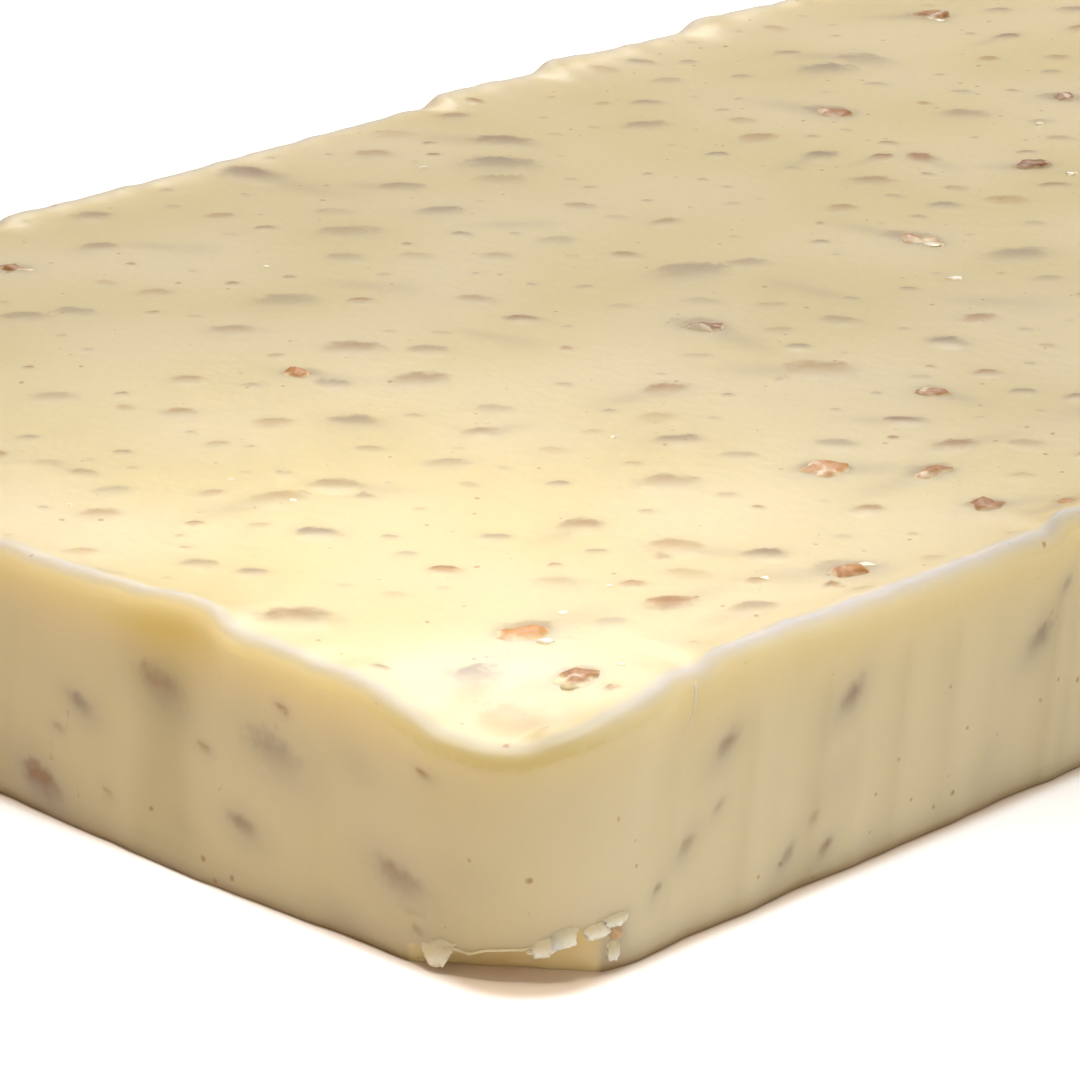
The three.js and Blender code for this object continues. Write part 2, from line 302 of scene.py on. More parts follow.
# Rings of the mesh on the walls and under the tear, which crowd towards the rim and the base, and the least
# depth below the rim that a wall's point is given
WALL_RINGS = 24
RING_CROWDING = 1.5
FOOT_RINGS = 5
FOOT_CROWDING = 1.7
LEAST_BELOW = 0.001 * MM

# Painted light along the edge: a golden glow of the light that comes through it. The golden band starts just
# below the crest, is full a little lower and fades over its reach. It has a share for each of the photo's
# walls, and none at the torn corner. The deeper gold is full lower. It has a share under a tall lip, for each
# wall, as a warm tint for the left wall down to its base, and at the torn corner, where its reach is shorter.
# A lip starts to count at one rise and is tall at another, as a mean over places along the rim in
# millimetres.
# The two walls' shares blend round the near corner
GOLD_START = 0.15 * MM
GOLD_FULL = 1.1 * MM
GOLD_REACH = 5.3 * MM
GOLD_LEFT = 0.9
GOLD_FRONT = 0.36
DEEP_FULL = 4 * MM
DEEP_REACH = 6 * MM
DEEP_TEAR_REACH = 0.4 * DEEP_REACH
DEEP_AT_LIP = 0.85
DEEP_ON_LEFT = 0.2
DEEP_LOW_LEFT = 0.13
DEEP_ON_FRONT = 0.22
DEEP_AT_TEAR = 0.35
LIP_LOW = 0.4 * MM
LIP_TALL = 1.2 * MM
LIP_PLACES = (-6, -3, 0, 3, 6)
SIDE_BLEND = 10 * MM

# The pale line on the crest, a painted soft reflection: its share and how far down it fades on each wall, how
# much of it is left at the torn corner, how far inside the outline it starts to fade inwards and how fast
PALE_LEFT = 0.5
PALE_FRONT = 0.68
PALE_FALL_LEFT = 0.8 * MM
PALE_FALL_FRONT = 0.9 * MM
PALE_AT_TEAR = 0.5
PALE_MIDDLE = 1.6 * MM
PALE_INSIDE = 1.1 * MM

# Shade on the torn corner's crest, with its reach inwards and down. Then the shades below that crest, under
# a lip and on the front wall, and how far down they fade
CREST_SHADE = 0.75
CREST_SHADE_REACH = 4 * MM
CREST_SHADE_FALL = 1 * MM
TEAR_SHADE = 0.45
LIP_SHADE = 0.6
FRONT_SHADE = 0.25
SHADE_REACH = 8 * MM

# Shade of the left wall, more of it lower down: how far below the rim it is full, and how high the lower part
# reaches
LEFT_SHADE = 0.05
LOW_SHADE = 0.55
LEFT_SHADE_FULL = 6 * MM
LOW_REACH = 14 * MM

# Depth of the flute whose painted shade would be darkest, and the height over which the painted shade at the
# base fades
FLUTE_DARKEST = 2.3 * MM
BASE_SHADE_HEIGHT = 1 * MM

# How far in from the outline nuts start to show and show fully, the same down the walls, and how far in they
# lift the top fully
TOP_SHOWS_START = 2.5 * MM
TOP_SHOWS_FULL = 5.5 * MM
WALL_SHOWS_START = 0.5 * MM
WALL_SHOWS_FULL = 3 * MM
LIFT_FULL = 3 * MM

# Mesh lines crowd towards the rim: how many are gathered there, and over how many steps
EDGE_GATHER = 6
EDGE_STEPS = 8


def smooth_step(value, low, high):
    """0 below low, 1 above high and a smooth ramp between."""
    share = np.clip((value - low) / (high - low), 0, 1)
    return share * share * (3 - 2 * share)


class SlabForm:
    """The slab's outline, walls, rim and top as formulas over arrays of points."""

    def __init__(self, sizes):
        self.sizes = sizes
        self.radius = sizes.corner_radius
        self.inner_x = sizes.length / 2 - self.radius
        self.inner_y = sizes.width / 2 - self.radius
        arc = self.radius * math.pi / 2
        self.right_start = 2 * self.inner_x + arc
        self.back_start = self.right_start + 2 * self.inner_y + arc
        self.left_start = self.back_start + 2 * self.inner_x + arc
        self.perimeter = self.left_start + 2 * self.inner_y + arc
        self.arc = arc
        self.tear_start = Vector((-sizes.length / 2, -sizes.width / 2 + TEAR_LEFT, 0))
        tear_end = Vector((-sizes.length / 2 + TEAR_FRONT, -sizes.width / 2, 0))
        self.tear_along = (tear_end - self.tear_start).normalized()
        self.tear_out = self.tear_along.cross(Vector((0, 0, 1)))

    def along_wall(self, wall, place):
        """Distance round the outline of a place on a wall, given by its X or Y."""
        return {
            "front": place + self.inner_x,
            "right": self.right_start + place + self.inner_y,
            "back": self.back_start + self.inner_x - place,
            "left": self.left_start + self.inner_y - place,
        }[wall]

    def apart(self, start, end):
        """Signed distance round the outline, the short way."""
        turns = (end - start) / self.perimeter
        return (turns - np.round(turns)) * self.perimeter

    def outline(self, x, y):
        """Depth inside the outline, outward direction and distance round the outline of each point."""
        over_x = np.maximum(np.abs(x) - self.inner_x, 0)
        over_y = np.maximum(np.abs(y) - self.inner_y, 0)
        reach = np.hypot(over_x, over_y)
        safe = np.maximum(reach, 1e-9)
        out_x = np.sign(x) * over_x / safe
        out_y = np.sign(y) * over_y / safe
        lean_x = np.arctan2(over_x, np.maximum(over_y, 1e-12))
        lean_y = np.arctan2(over_y, np.maximum(over_x, 1e-12))
        at_corner = (over_x > 0) & (over_y > 0)
        places = [
            (at_corner & (x > 0) & (y < 0), 2 * self.inner_x + self.radius * lean_x),
            (at_corner & (x > 0) & (y > 0), self.back_start - self.arc + self.radius * lean_y),
            (at_corner & (x < 0) & (y > 0), self.left_start - self.arc + self.radius * lean_x),
            (at_corner & (x < 0) & (y < 0), self.perimeter - self.arc + self.radius * lean_y),
            ((over_y > 0) & (y < 0), self.along_wall("front", x)),
            ((over_x > 0) & (x > 0), self.along_wall("right", y)),
            ((over_y > 0) & (y > 0), self.along_wall("back", x)),
            ((over_x > 0) & (x < 0), self.along_wall("left", y)),
        ]
        along = np.select([test for test, _ in places], [value for _, value in places], 0.0)
        return self.radius - reach, out_x, out_y, along

    def outline_point(self, along):
        """Anchor on the inner rectangle and outward direction at distances round the outline."""
        starts = [0, self.right_start, self.back_start, self.left_start]
        runs = [2 * self.inner_x, 2 * self.inner_y, 2 * self.inner_x, 2 * self.inner_y]
        corners = [(-1, -1), (1, -1), (1, 1), (-1, 1)]
        wall = np.searchsorted(starts, along, side="right") - 1
        past = along - np.take(starts, wall)
        run = np.take(runs, wall)
        heading = wall * math.pi / 2
        forward = np.minimum(past, run)
        anchor_x = np.take([c[0] for c in corners], wall) * self.inner_x + np.cos(heading) * forward
        anchor_y = np.take([c[1] for c in corners], wall) * self.inner_y + np.sin(heading) * forward
        turn = heading - math.pi / 2 + np.maximum(past - run, 0) / self.radius
        return anchor_x, anchor_y, np.cos(turn), np.sin(turn)

    def sag(self, x, y):
        """Drop of the set surface near the corners."""
        drop = np.zeros_like(x)
        for sign_x, sign_y, shift, depth in SAGS:
            centre_x = sign_x * self.sizes.length / 2
            centre_y = sign_y * self.sizes.width / 2 + shift * MM
            drop += depth * MM * np.exp(-((x - centre_x) ** 2 + (y - centre_y) ** 2) / SAG_REACH ** 2)
        return drop

    def top(self, x, y):
        """Height of the top away from the rim."""
        swell = np.sin(2 * math.pi * x / SWELL_X) * np.sin(2 * math.pi * y / SWELL_Y)
        return self.sizes.top_level + SWELL_HEIGHT * swell - self.sag(x, y)

    def ripple(self, along, column):
        """Sum of the liner's fine ripples, in the wall (1) or the rim (2)."""
        turn = 2 * math.pi * along / self.perimeter
        return sum(row[column] * MM * np.sin(row[0] * turn + row[0]) for row in RIPPLES)

    def lip(self, along):
        """How far the rim's lips stand above the rest of it."""
        rise = np.zeros_like(along)
        for wall, place, lip_rise, reach in LIPS:
            past = self.apart(self.along_wall(wall, place * MM), along) * math.copysign(1, reach)
            step = smooth_step(past, -LIP_STEP / 2, LIP_STEP / 2)
            rise = rise + lip_rise * MM * step * np.exp(-np.maximum(past, 0) / abs(reach * MM))
        return rise

    def crest(self, along):
        """Height of the rim's crest."""
        anchor_x, anchor_y, out_x, out_y = self.outline_point(along)
        drop = self.sag(anchor_x + out_x * self.radius, anchor_y + out_y * self.radius)
        rise = self.sizes.rim_rise + self.ripple(along, 2) + self.lip(along)
        return self.sizes.top_level + rise - drop

    def flutes(self, along):
        """Depth of the pleats' flutes."""
        depth = np.zeros_like(along)
        rows = [
            (0, 2 * self.inner_x, FLUTES_LONG, FLUTE_FRONT),
            (self.right_start, 2 * self.inner_y, FLUTES_SHORT, FLUTE_RIGHT),
            (self.back_start, 2 * self.inner_x, FLUTES_LONG, FLUTE_BACK),
            (self.left_start, 2 * self.inner_y, FLUTES_SHORT, FLUTE_LEFT),
        ]
        for quarter, (start, run, count, deepest) in enumerate(rows):
            pleat = np.clip((along - start) / run, 0, 1) * count
            shallower = FLUTE_UNEVENNESS * (1 - np.sin(FLUTE_DRIFT * np.floor(pleat) + quarter))
            depth += deepest * np.abs(np.sin(math.pi * pleat)) * (1 - shallower)
        return depth

    def photo_side(self, along):
        """Whether places round the outline lie on the near halves of the walls that the photo shows."""
        corner = self.along_wall("left", -self.inner_y)
        return np.abs(self.apart(corner, along)) < PHOTO_REACH

    def fold_shade(self, along, height):
        """Shade that gathers before each of the liner's folds: the ones that stand out, then the rest."""
        rows = [(self.along_wall(wall, place * MM), strength) for wall, place, strength in FOLDS]
        draw = draws_from(FOLD_SEED)
        for step in range(int(self.perimeter / FOLD_PITCH)):
            place = (step + next(draw)) * FOLD_PITCH
            strength = FOLD_STRONGEST * next(draw) ** FOLD_POWER
            if not self.photo_side(place):
                rows.append((place, strength))
        below = self.sizes.top_level - height
        shade = np.zeros_like(along)
        for place, strength in rows:
            past = self.apart(place - FOLD_LEAN * below, along)
            fade = np.exp(-np.abs(past) / np.where(past < 0, FOLD_WIDTH, FOLD_EDGE))
            shade = np.maximum(shade, FOLD_SHOWS * strength * fade)
        for wall, place, width, strength in SHADE_BANDS:
            past = self.apart(self.along_wall(wall, place * MM), along)
            shade = np.maximum(shade, strength * np.exp(-(past / (width * MM)) ** 2))
        return shade * smooth_step(below, FOLD_START, FOLD_FULL)

    def creases(self, along, height):
        """Depth of the walls' creases, and of their bows, which are below nothing."""
        inset = np.zeros_like(along)
        for wall, place, at_rim, at_base, width, lean in CREASES:
            centre = self.along_wall(wall, place * MM) - lean * (self.sizes.top_level - height)
            depth = (at_base + (at_rim - at_base) * height / self.sizes.top_level) * MM
            inset = inset + depth * np.exp(-(self.apart(centre, along) / (width * MM)) ** 2)
        return inset

    def wall_inset(self, along, height):
        """How far the wall stands in from the outline."""
        inset = self.flutes(along) + self.ripple(along, 1) + self.creases(along, height)
        return inset + self.sizes.base_tuck * np.maximum(0, 1 - height / self.sizes.base_round) ** 2

    def wall_point(self, along, height, deeper=0.0):
        """Points of the wall, pushed in by deeper."""
        anchor_x, anchor_y, out_x, out_y = self.outline_point(along)
        reach = self.radius - self.wall_inset(along, height) - deeper
        return anchor_x + out_x * reach, anchor_y + out_y * reach

    def from_tear_start(self, along, direction):
        """How far stations of the wall lie from the tear's start in a direction."""
        x, y = self.wall_point(along, np.full_like(along, TEAR_EDGE[0][1] * MM))
        return (x - self.tear_start.x) * direction.x + (y - self.tear_start.y) * direction.y

    def tear_place(self, along):
        """Place of each station along the tear's edge."""
        return self.from_tear_start(along, self.tear_along)

    def tear_station(self, place):
        """The station at a place along the tear's edge."""
        start = self.along_wall("left", self.tear_start.y + TEAR_PAST)
        stations = np.linspace(start, self.perimeter + TEAR_PAST, TEAR_STEPS)
        places = self.tear_place(np.mod(stations, self.perimeter))
        return np.mod(np.interp([place], places, stations), self.perimeter)

    def tear(self, along):
        """Height of the tear's ragged edge at each station, and how deep the tear goes in below it."""
        place = self.tear_place(along)
        beyond = self.from_tear_start(along, self.tear_out)
        _, _, out_x, out_y = self.outline_point(along)
        facing = out_x * self.tear_out.x + out_y * self.tear_out.y
        inside = (beyond > 0) & (facing > 0)
        depth = np.where(inside, beyond / np.where(inside, facing, 1), 0)
        edge = np.interp(place / MM, [row[0] for row in TEAR_EDGE], [row[1] for row in TEAR_EDGE]) * MM
        ragged = TEAR_RAGGED * (np.sin(place / TEAR_SHORT_WAVE) + np.sin(place / TEAR_LONG_WAVE + 1))
        near = smooth_step(depth, 0, TEAR_BLEND)
        return edge + ragged * near, depth


# Nuts


@dataclass
class Nut:
    """A chopped nut in the top: place, size, lie, skin tone from 0 to 1, and how clearly it shows."""

    x: float
    y: float
    length: float
    width: float
    height: float
    stands: float
    tilt_x: float
    tilt_y: float
    heading: float
    tone: float
    clear: float

    @property
    def bare(self):
        """Whether the nut lies bare."""
        return self.clear == 1


# Nuts that stand out: X, Y and length in millimetres, skin tone, and how clearly it shows, 1 where bare
NUTS = [
    (60, 44, 8, 0.5, 1), (89, 26, 6.5, 0.2, 1), (61, 7, 5, 0.2, 1), (43, 31, 5.5, 0.1, 0.7),
    (49, 25, 4, 0.6, 0.85), (53, 21, 4.5, 0.9, 0.85), (23, -3, 8, 0.8, 1), (-25, -9, 8.5, 0.3, 1),
    (-46, -22, 6, 0.6, 0.6), (-23, -46, 4.5, 0.6, 1), (-34, -51, 4.5, 0.2, 0.75), (-37, -61, 5.5, 0.5, 0.7),
    (-55, -56, 6.5, 0.9, 1), (-47, -65, 7.5, 0.5, 1), (-50, -77, 5, 0.4, 1), (-78, -80, 9, 0.6, 1),
    (-100, -73, 5.5, 0.8, 0.8), (-121, -79, 5, 0.4, 1), (-131, -79, 7, 0.9, 0.3), (-117, -67, 7, 1.0, 1),
    (-132, -47, 8.5, 0.3, 0.6), (-126, -69, 9, 0.6, 0.25), (-73, -17, 4.5, 0.3, 0.55),
    (-99, -19, 6, 0.3, 0.5), (-107, -17, 6.5, 0.5, 0.4), (-73, 14, 6, 0.9, 1), (-70, 72, 5.5, 0.5, 1),
    (-18, 81, 10, 0.1, 0.7), (-8, 62, 5.5, 0.1, 0.5), (17, 67, 8, 0.2, 0.65), (110, 69, 6, 0.5, 1),
    (110, 53, 4.5, 0.2, 0.8), (-88, -48, 5, 0.4, 0.6), (-86, -61, 6, 0.7, 0.4), (-27, -31, 8, 0.6, 0.45),
    (-95, -81, 5, 0.1, 0.5), (-44, -84, 4.5, 0.9, 1), (-134, -13, 4, 0.7, 0.4), (-116, 6, 4, 0.2, 0.45),
]

# The rest of the solid's nuts: the grid that scatters them, and how far they keep from others and from the
# edge. Then every nut's length in millimetres, its width and height as shares of that and how far it stands
# above the top in millimetres, each as the least and a spread over it, and its tilt and heading in radians
NUT_PITCH = 28 * MM
NUT_CLEARANCE = 20 * MM
NUT_EDGE = 12 * MM
NUT_LENGTH = (4.5, 4)
NUT_WIDTH = (0.6, 0.25)
NUT_HEIGHT = (0.5, 0.2)
NUT_STANDS = (0.6, 0.6)
NUT_TILT = 0.5
NUT_HEADING = -0.8
NUT_HEADING_SPREAD = 1.8
NUT_SEED = 20261

# Looks of those that are scattered: the seed, how many lie bare, and how clearly the others show
TONE_SEED = 811
BARE_SHARE = 0.35
VEILED_LEAST = 0.3
VEILED_SPREAD = 0.5

# Where the photo's right edge cuts the top, and how faintly the nuts show that the solid adds before it
VIEW_SLOPE = 0.8
VIEW_EDGE = 50 * MM
FAINT = 0.2

# The way the fudge was spread: the nuts' edges on that side lie nearest to the surface, and cut faces look
# the other way, give or take half their spread
SPREAD_HEADING = 0.77
CUT_SPREAD = 1.4

# How much larger than the solid's nut a bare kernel is, how much of its height over the top it has, and how
# many have a cut face
KERNEL_SHARE = 1.2
KERNEL_STANDS = 0.76
CUT_SHARE = 0.15

# Height above the top, in millimetres, up to which fudge hides a bare nut, and over which it is patchy
FILM_LOW = 0.0
FILM_HIGH = 0.28

# Nuts just under the surface: X, Y and length in millimetres, turn in degrees, darkness, skin tone. They are
# drawn longer, because they fade towards their ends
SUNK_NUTS = [
    (-54, 37, 8.6, 0, 0.4, 0.0), (-81, -4, 7.2, -35, 0.55, 0.1), (-65, 2, 7.6, 35, 0.5, 0.35),
    (-67, 33, 6.3, 0, 0.4, 0.3), (-62, 16, 7.5, 0, 0.5, 0.4), (-56, 9, 5.3, 0, 0.45, 0.15),
    (-13, 50, 6.7, 30, 0.5, 0.0), (-28, 52, 8, 0, 0.4, 0.1), (-34, 62, 2.9, 0, 0.65, 0.3),
    (-53, 48, 1.8, 0, 0.8, 0.7), (-56, 71, 5.6, 30, 0.45, 0.1), (-82, 56, 6.4, 0, 0.45, 0.1),
    (-76, 53, 5.8, -15, 0.4, 0.0), (-93, 15, 4.4, 0, 0.45, 0.5), (-84, 23, 4, 0, 0.45, 0.6),
    (-73, 8, 4.9, -30, 0.45, 0.0), (-99, -24, 2.8, 0, 0.5, 0.2), (-106, -35, 2.3, 0, 0.55, 0.3),
    (-109, -47, 3.8, 0, 0.7, 0.8), (-129.2, -70.8, 7, 38, 0.6, 0.0), (-121, -84, 2.1, 0, 0.7, 0.9),
    (-131, -83, 2.8, 30, 0.5, 0.9), (-109, -72, 4.4, 35, 0.35, 0.0), (-47, -51, 5.5, 0, 0.45, 0.05),
    (-71, -46, 7.5, 0, 0.45, 0.25), (-61, -68, 4.2, 25, 0.55, 0.6), (-13, -46, 3.7, 0, 0.55, 0.5),
    (-13, -60, 3.4, 40, 0.6, 0.3), (-40, -54, 1.6, 0, 0.75, 0.8), (-83, -82, 2.2, 30, 0.7, 0.9),
    (-88, -75, 2.7, 25, 0.5, 0.9), (-89, -62, 2.7, 30, 0.55, 0.8), (-82, -86, 3.3, 0, 0.5, 0.3),
    (85, 59, 9.1, -25, 0.4, 0.0), (77, 60, 8.8, 25, 0.55, 0.0), (73, 30, 7.4, 0, 0.45, 0.1),
    (39, 18, 6.3, 0, 0.5, 0.5), (6, -17, 2.6, 0, 0.55, 0.2), (27, -18, 8.7, 25, 0.5, 0.0),
    (-9, 8, 10.7, 30, 0.45, 0.05), (-1, 5, 6, 0, 0.4, 0.1), (9, 60, 10.5, 0, 0.55, 0.0),
    (6, 70, 2.1, 0, 0.7, 0.9), (4, 55, 6.9, 0, 0.35, 0.3), (37, 59, 6.5, 25, 0.5, 0.2),
    (21, 81, 5.1, 0, 0.5, 0.4), (-93, -55, 2.7, 0, 0.45, 0.2), (-42, -29, 1.7, 0, 0.65, 0.4),
]

# How much longer and darker than its row such a nut is drawn, its width as a share of its length, and how far
# the darkest would lift the top
SUNK_DRAWN = 1.2
SUNK_DARKER = 1.1
SUNK_ASPECT = 0.75
SUNK_RISE = 0.35 * MM

# The rest of them: the grid that scatters them, how many of its cells hold one, their lengths and darkness as
# the least and a spread, with powers that favour the least, their spread of headings, and the room they keep
SUNK_PITCH = 8 * MM
SUNK_SHARE = 0.9
SUNK_LENGTH = (1.7 * MM, 5.5 * MM)
SUNK_LENGTH_POWER = 2
SUNK_SHOWS = (0.25, 0.45)
SUNK_SHOWS_POWER = 1.5
SUNK_HEADING_SPREAD = 1.2
SUNK_CLEARANCE = 1.5 * MM
SUNK_SEED = 4177

# How far round a nut the surface keeps its place on that nut, how far round points are looked for, how near
# two nuts crowd, the place that points away from all nuts have, in half sizes, and the strength of the soft
# shade round a nut
NUT_MARGIN = 1.2 * MM
NUT_SEARCH = 3 * NUT_MARGIN
NUT_CROWD = 2.5 * NUT_MARGIN
AWAY_FROM_NUTS = 3.0
HALO_SHARE = 0.4

# The fudge over a nut in the top stands up in a mound: how much larger than the solid's nut the nut shows and
# the mound is, how much of the nut's height it has, and the power that rounds it off
NUT_SUNK_SHARE = 1.17
MOUND_SIZE = 1.1
MOUND_SHARE = 0.22
MOUND_POWER = 1.5

# Round a bare nut it is a low collar: its size, how much of the nut's height it has, how dark it is and how
# much of the nut's tone it takes
COLLAR_SIZE = 1.05
COLLAR_SHARE = 0.12
COLLAR_SHOWS = 0.35
COLLAR_TONE = 0.3

# A nut's sunk tail: where in the nut's length it lies, its size against the nut's and how strongly it shows
TAIL_STEP = 0.7
TAIL_LENGTH = 1.5
TAIL_WIDTH = 0.7
TAIL_SHOWS = 0.28

# How clearly a nut in the top shows before it has an outline
OUTLINED = 0.28

# Nuts that darken the walls: wall, place along it, height and length in millimetres, darkness, tone
WALL_NUTS = [
    ("left", -33, 20.7, 5.6, 0.6, 0.6), ("left", -52, 18.2, 6.5, 0.5, 0.15),
    ("left", -20, 15.2, 3.4, 0.65, 0.2), ("left", -16, 11.6, 1.6, 0.55, 0.7),
    ("left", -13, 3.8, 5, 0.9, 0.7), ("left", -47, 8.5, 3.4, 0.65, 0.4),
    ("left", -71, 9, 5.6, 0.6, 0.4), ("left", -64, 20.6, 3.4, 0.35, 0.1),
    ("left", -62, 2, 3, 0.4, 0.2), ("left", -79, 11.6, 4.3, 0.25, 0.0),
    ("left", -40.5, 16, 1.7, 0.6, 0.9), ("left", -53, 24, 1.5, 0.7, 1.0),
    ("left", -24.5, 6, 1.4, 0.45, 0.7), ("left", -74.5, 22.5, 1.3, 0.65, 0.9),
    ("left", -38, 5.5, 2.4, 0.3, 0.2),
    ("front", -109, 20.8, 3.2, 0.65, 0.4), ("front", -110, 14, 1.8, 0.45, 0.4),
    ("front", -115, 10.8, 2.8, 0.55, 0.5), ("front", -88.6, 20.5, 3.7, 0.7, 0.35),
    ("front", -91, 11, 4.4, 0.3, 0.1), ("front", -98.7, 4.2, 3.1, 0.55, 0.3),
    ("front", -92.4, 3.6, 2.4, 0.7, 0.6), ("front", -55.7, 18.2, 3.8, 0.65, 0.3),
    ("front", -64, 5.8, 3.2, 0.35, 0.1), ("front", -94, 8, 1.6, 0.5, 0.9),
    ("left", -73.4, 4.3, 1.6, 0.6, 1.0), ("front", -120, 7.4, 1.5, 0.6, 0.4),
    ("front", -85, 2.5, 2.4, 0.25, 0.1),
]

# How the walls' nuts lean, in radians from level: down the left wall, up the front one, by turns elsewhere
LEAN_LEFT = -0.3
LEAN_FRONT = 0.8

# The rest of them, at a pitch: their height and length in millimetres and darkness, each as the least and a
# spread, a power that favours short ones, and the brownest tone
WALL_PITCH = 13 * MM
WALL_HEIGHT = (3, 24)
WALL_LENGTH = (2, 4.5)
WALL_LENGTH_POWER = 2
WALL_DARKNESS = (0.2, 0.5)
WALL_BROWNEST = 0.6
WALL_SEED = 5903

# How much larger than its row a wall's nut is drawn, along it and across it, how dark it is before it has an
# outline, how much of its brown comes through there, and the soft blot round it: its size against the nut's
# and how much of the nut's darkness it has
WALL_DRAWN = 1.25
WALL_ALONG = 1.5
WALL_ACROSS = 0.75
WALL_OUTLINED = 0.4
WALL_TONE = 0.7
BLOT_ALONG = 1.3
BLOT_ACROSS = 1.5
BLOT_SHOWS = 0.5


def draws_from(seed):
    """A repeatable row of numbers between 0 and 1, the same as the solid's."""
    state = seed
    while True:
        state = state * 16807 % 2147483647
        yield state / 2147483647


def pick(span, draw, power=1):
    """A number between the least of a span and its spread over that. A high power favours the least."""
    least, spread = span
    return least + spread * next(draw) ** power


def nuts_in_top(sizes):
    """Every nut that the solid has, in the same places and sizes."""
    draw = draws_from(NUT_SEED)
    looks = draws_from(TONE_SEED)
    places = [(x * MM, y * MM, length * MM, tone, clear) for x, y, length, tone, clear in NUTS]
    columns = int((sizes.length - 2 * NUT_EDGE) / NUT_PITCH)
    rows = int((sizes.width - 2 * NUT_EDGE) / NUT_PITCH)
    for column in range(columns):
        for row in range(rows):
            x = (column + next(draw) - columns / 2) * NUT_PITCH
            y = (row + next(draw) - rows / 2) * NUT_PITCH
            length = pick(NUT_LENGTH, draw) * MM
            if all(math.hypot(place[0] - x, place[1] - y) > NUT_CLEARANCE for place in places):
                clear = next(looks) + BARE_SHARE
                if VIEW_SLOPE * x - y < VIEW_EDGE:
                    clear = FAINT
                elif clear < 1:
                    clear = VEILED_LEAST + VEILED_SPREAD * clear
                places.append((x, y, length, next(looks), min(clear, 1)))
    nuts = []
    for x, y, length, tone, clear in places:
        nuts.append(Nut(
            x=x,
            y=y,
            length=length,
            width=length * pick(NUT_WIDTH, draw),
            height=length * pick(NUT_HEIGHT, draw),
            stands=pick(NUT_STANDS, draw) * MM,
            tilt_x=NUT_TILT * (next(draw) - 0.5),
            tilt_y=NUT_TILT * (next(draw) - 0.5),
            heading=NUT_HEADING + NUT_HEADING_SPREAD * (next(draw) - 0.5),
            tone=tone,
            clear=clear,
        ))
    return nuts


class Surface:
    """What the nuts do to the slab's points: how far they lift it and how they show through it.

    Each point near a nut keeps its place on it: along it, across it and towards its nearest edge to the
    surface, in half sizes. The material draws the nut's outline from that, finer than the mesh.
    """

    def __init__(self, count):
        self.rise = np.zeros(count)
        self.shows = np.zeros(count)
        self.halo = np.zeros(count)
        self.tone = np.zeros(count)
        self.place = np.full((count, 3), AWAY_FROM_NUTS)
        self.nearest = np.full(count, np.inf)
        self.second = np.full(count, np.inf)

    def press(self, across, up, spot, size, heading, lean, rise, shows, tone):
        """Presses one nut against the surface, whose points are given by two flat coordinates."""
        near, long, short, step_a, step_b = self.beside(across, up, spot, size, heading)
        half_long = size[0] / 2
        half_short = size[1] / 2
        half_lean = math.hypot(half_long * math.cos(lean - heading), half_short * math.sin(lean - heading))
        towards = (math.cos(lean) * step_a + math.sin(lean) * step_b) / half_lean
        from_middle = np.hypot(long, short)
        outside = (from_middle - 1) * half_short
        mound = rise * np.clip(1 - from_middle ** 2, 0, 1) ** MOUND_POWER
        self.rise[near] = np.maximum(self.rise[near], mound)
        self.halo[near] = np.maximum(self.halo[near], HALO_SHARE * shows * np.exp(-from_middle ** 2))
        before = self.nearest[near]
        closest = outside < before
        self.second[near] = np.where(closest, before, np.minimum(self.second[near], outside))
        chosen = near[closest]
        self.nearest[chosen] = outside[closest]
        self.place[chosen] = np.column_stack([long, short, towards])[closest]
        self.shows[chosen] = shows
        self.tone[chosen] = tone

    def shade(self, across, up, spot, size, heading, strength):
        """Shades the surface softly, as over a nut too deep to show an outline."""
        near, long, short, _, _ = self.beside(across, up, spot, size, heading)
        self.halo[near] = np.maximum(self.halo[near], strength * np.exp(-np.hypot(long, short) ** 2))

    @staticmethod
    def beside(across, up, spot, size, heading):
        """Points near a nut, their places along and across it in half sizes, and their steps from it."""
        reach = size[0] + NUT_SEARCH
        near = np.flatnonzero((np.abs(across - spot[0]) < reach) & (np.abs(up - spot[1]) < reach))
        step_a = across[near] - spot[0]
        step_b = up[near] - spot[1]
        long = (math.cos(heading) * step_a + math.sin(heading) * step_b) / (size[0] / 2)
        short = (math.cos(heading) * step_b - math.sin(heading) * step_a) / (size[1] / 2)
        return near, long, short, step_a, step_b

    def clear_shows(self):
        """How strongly nuts show at each point: not at all far from them, nor between two that crowd."""
        crowded = (self.nearest > 0) & (self.second < NUT_CROWD)
        return np.where((self.nearest > NUT_MARGIN) | crowded, 0, self.shows)


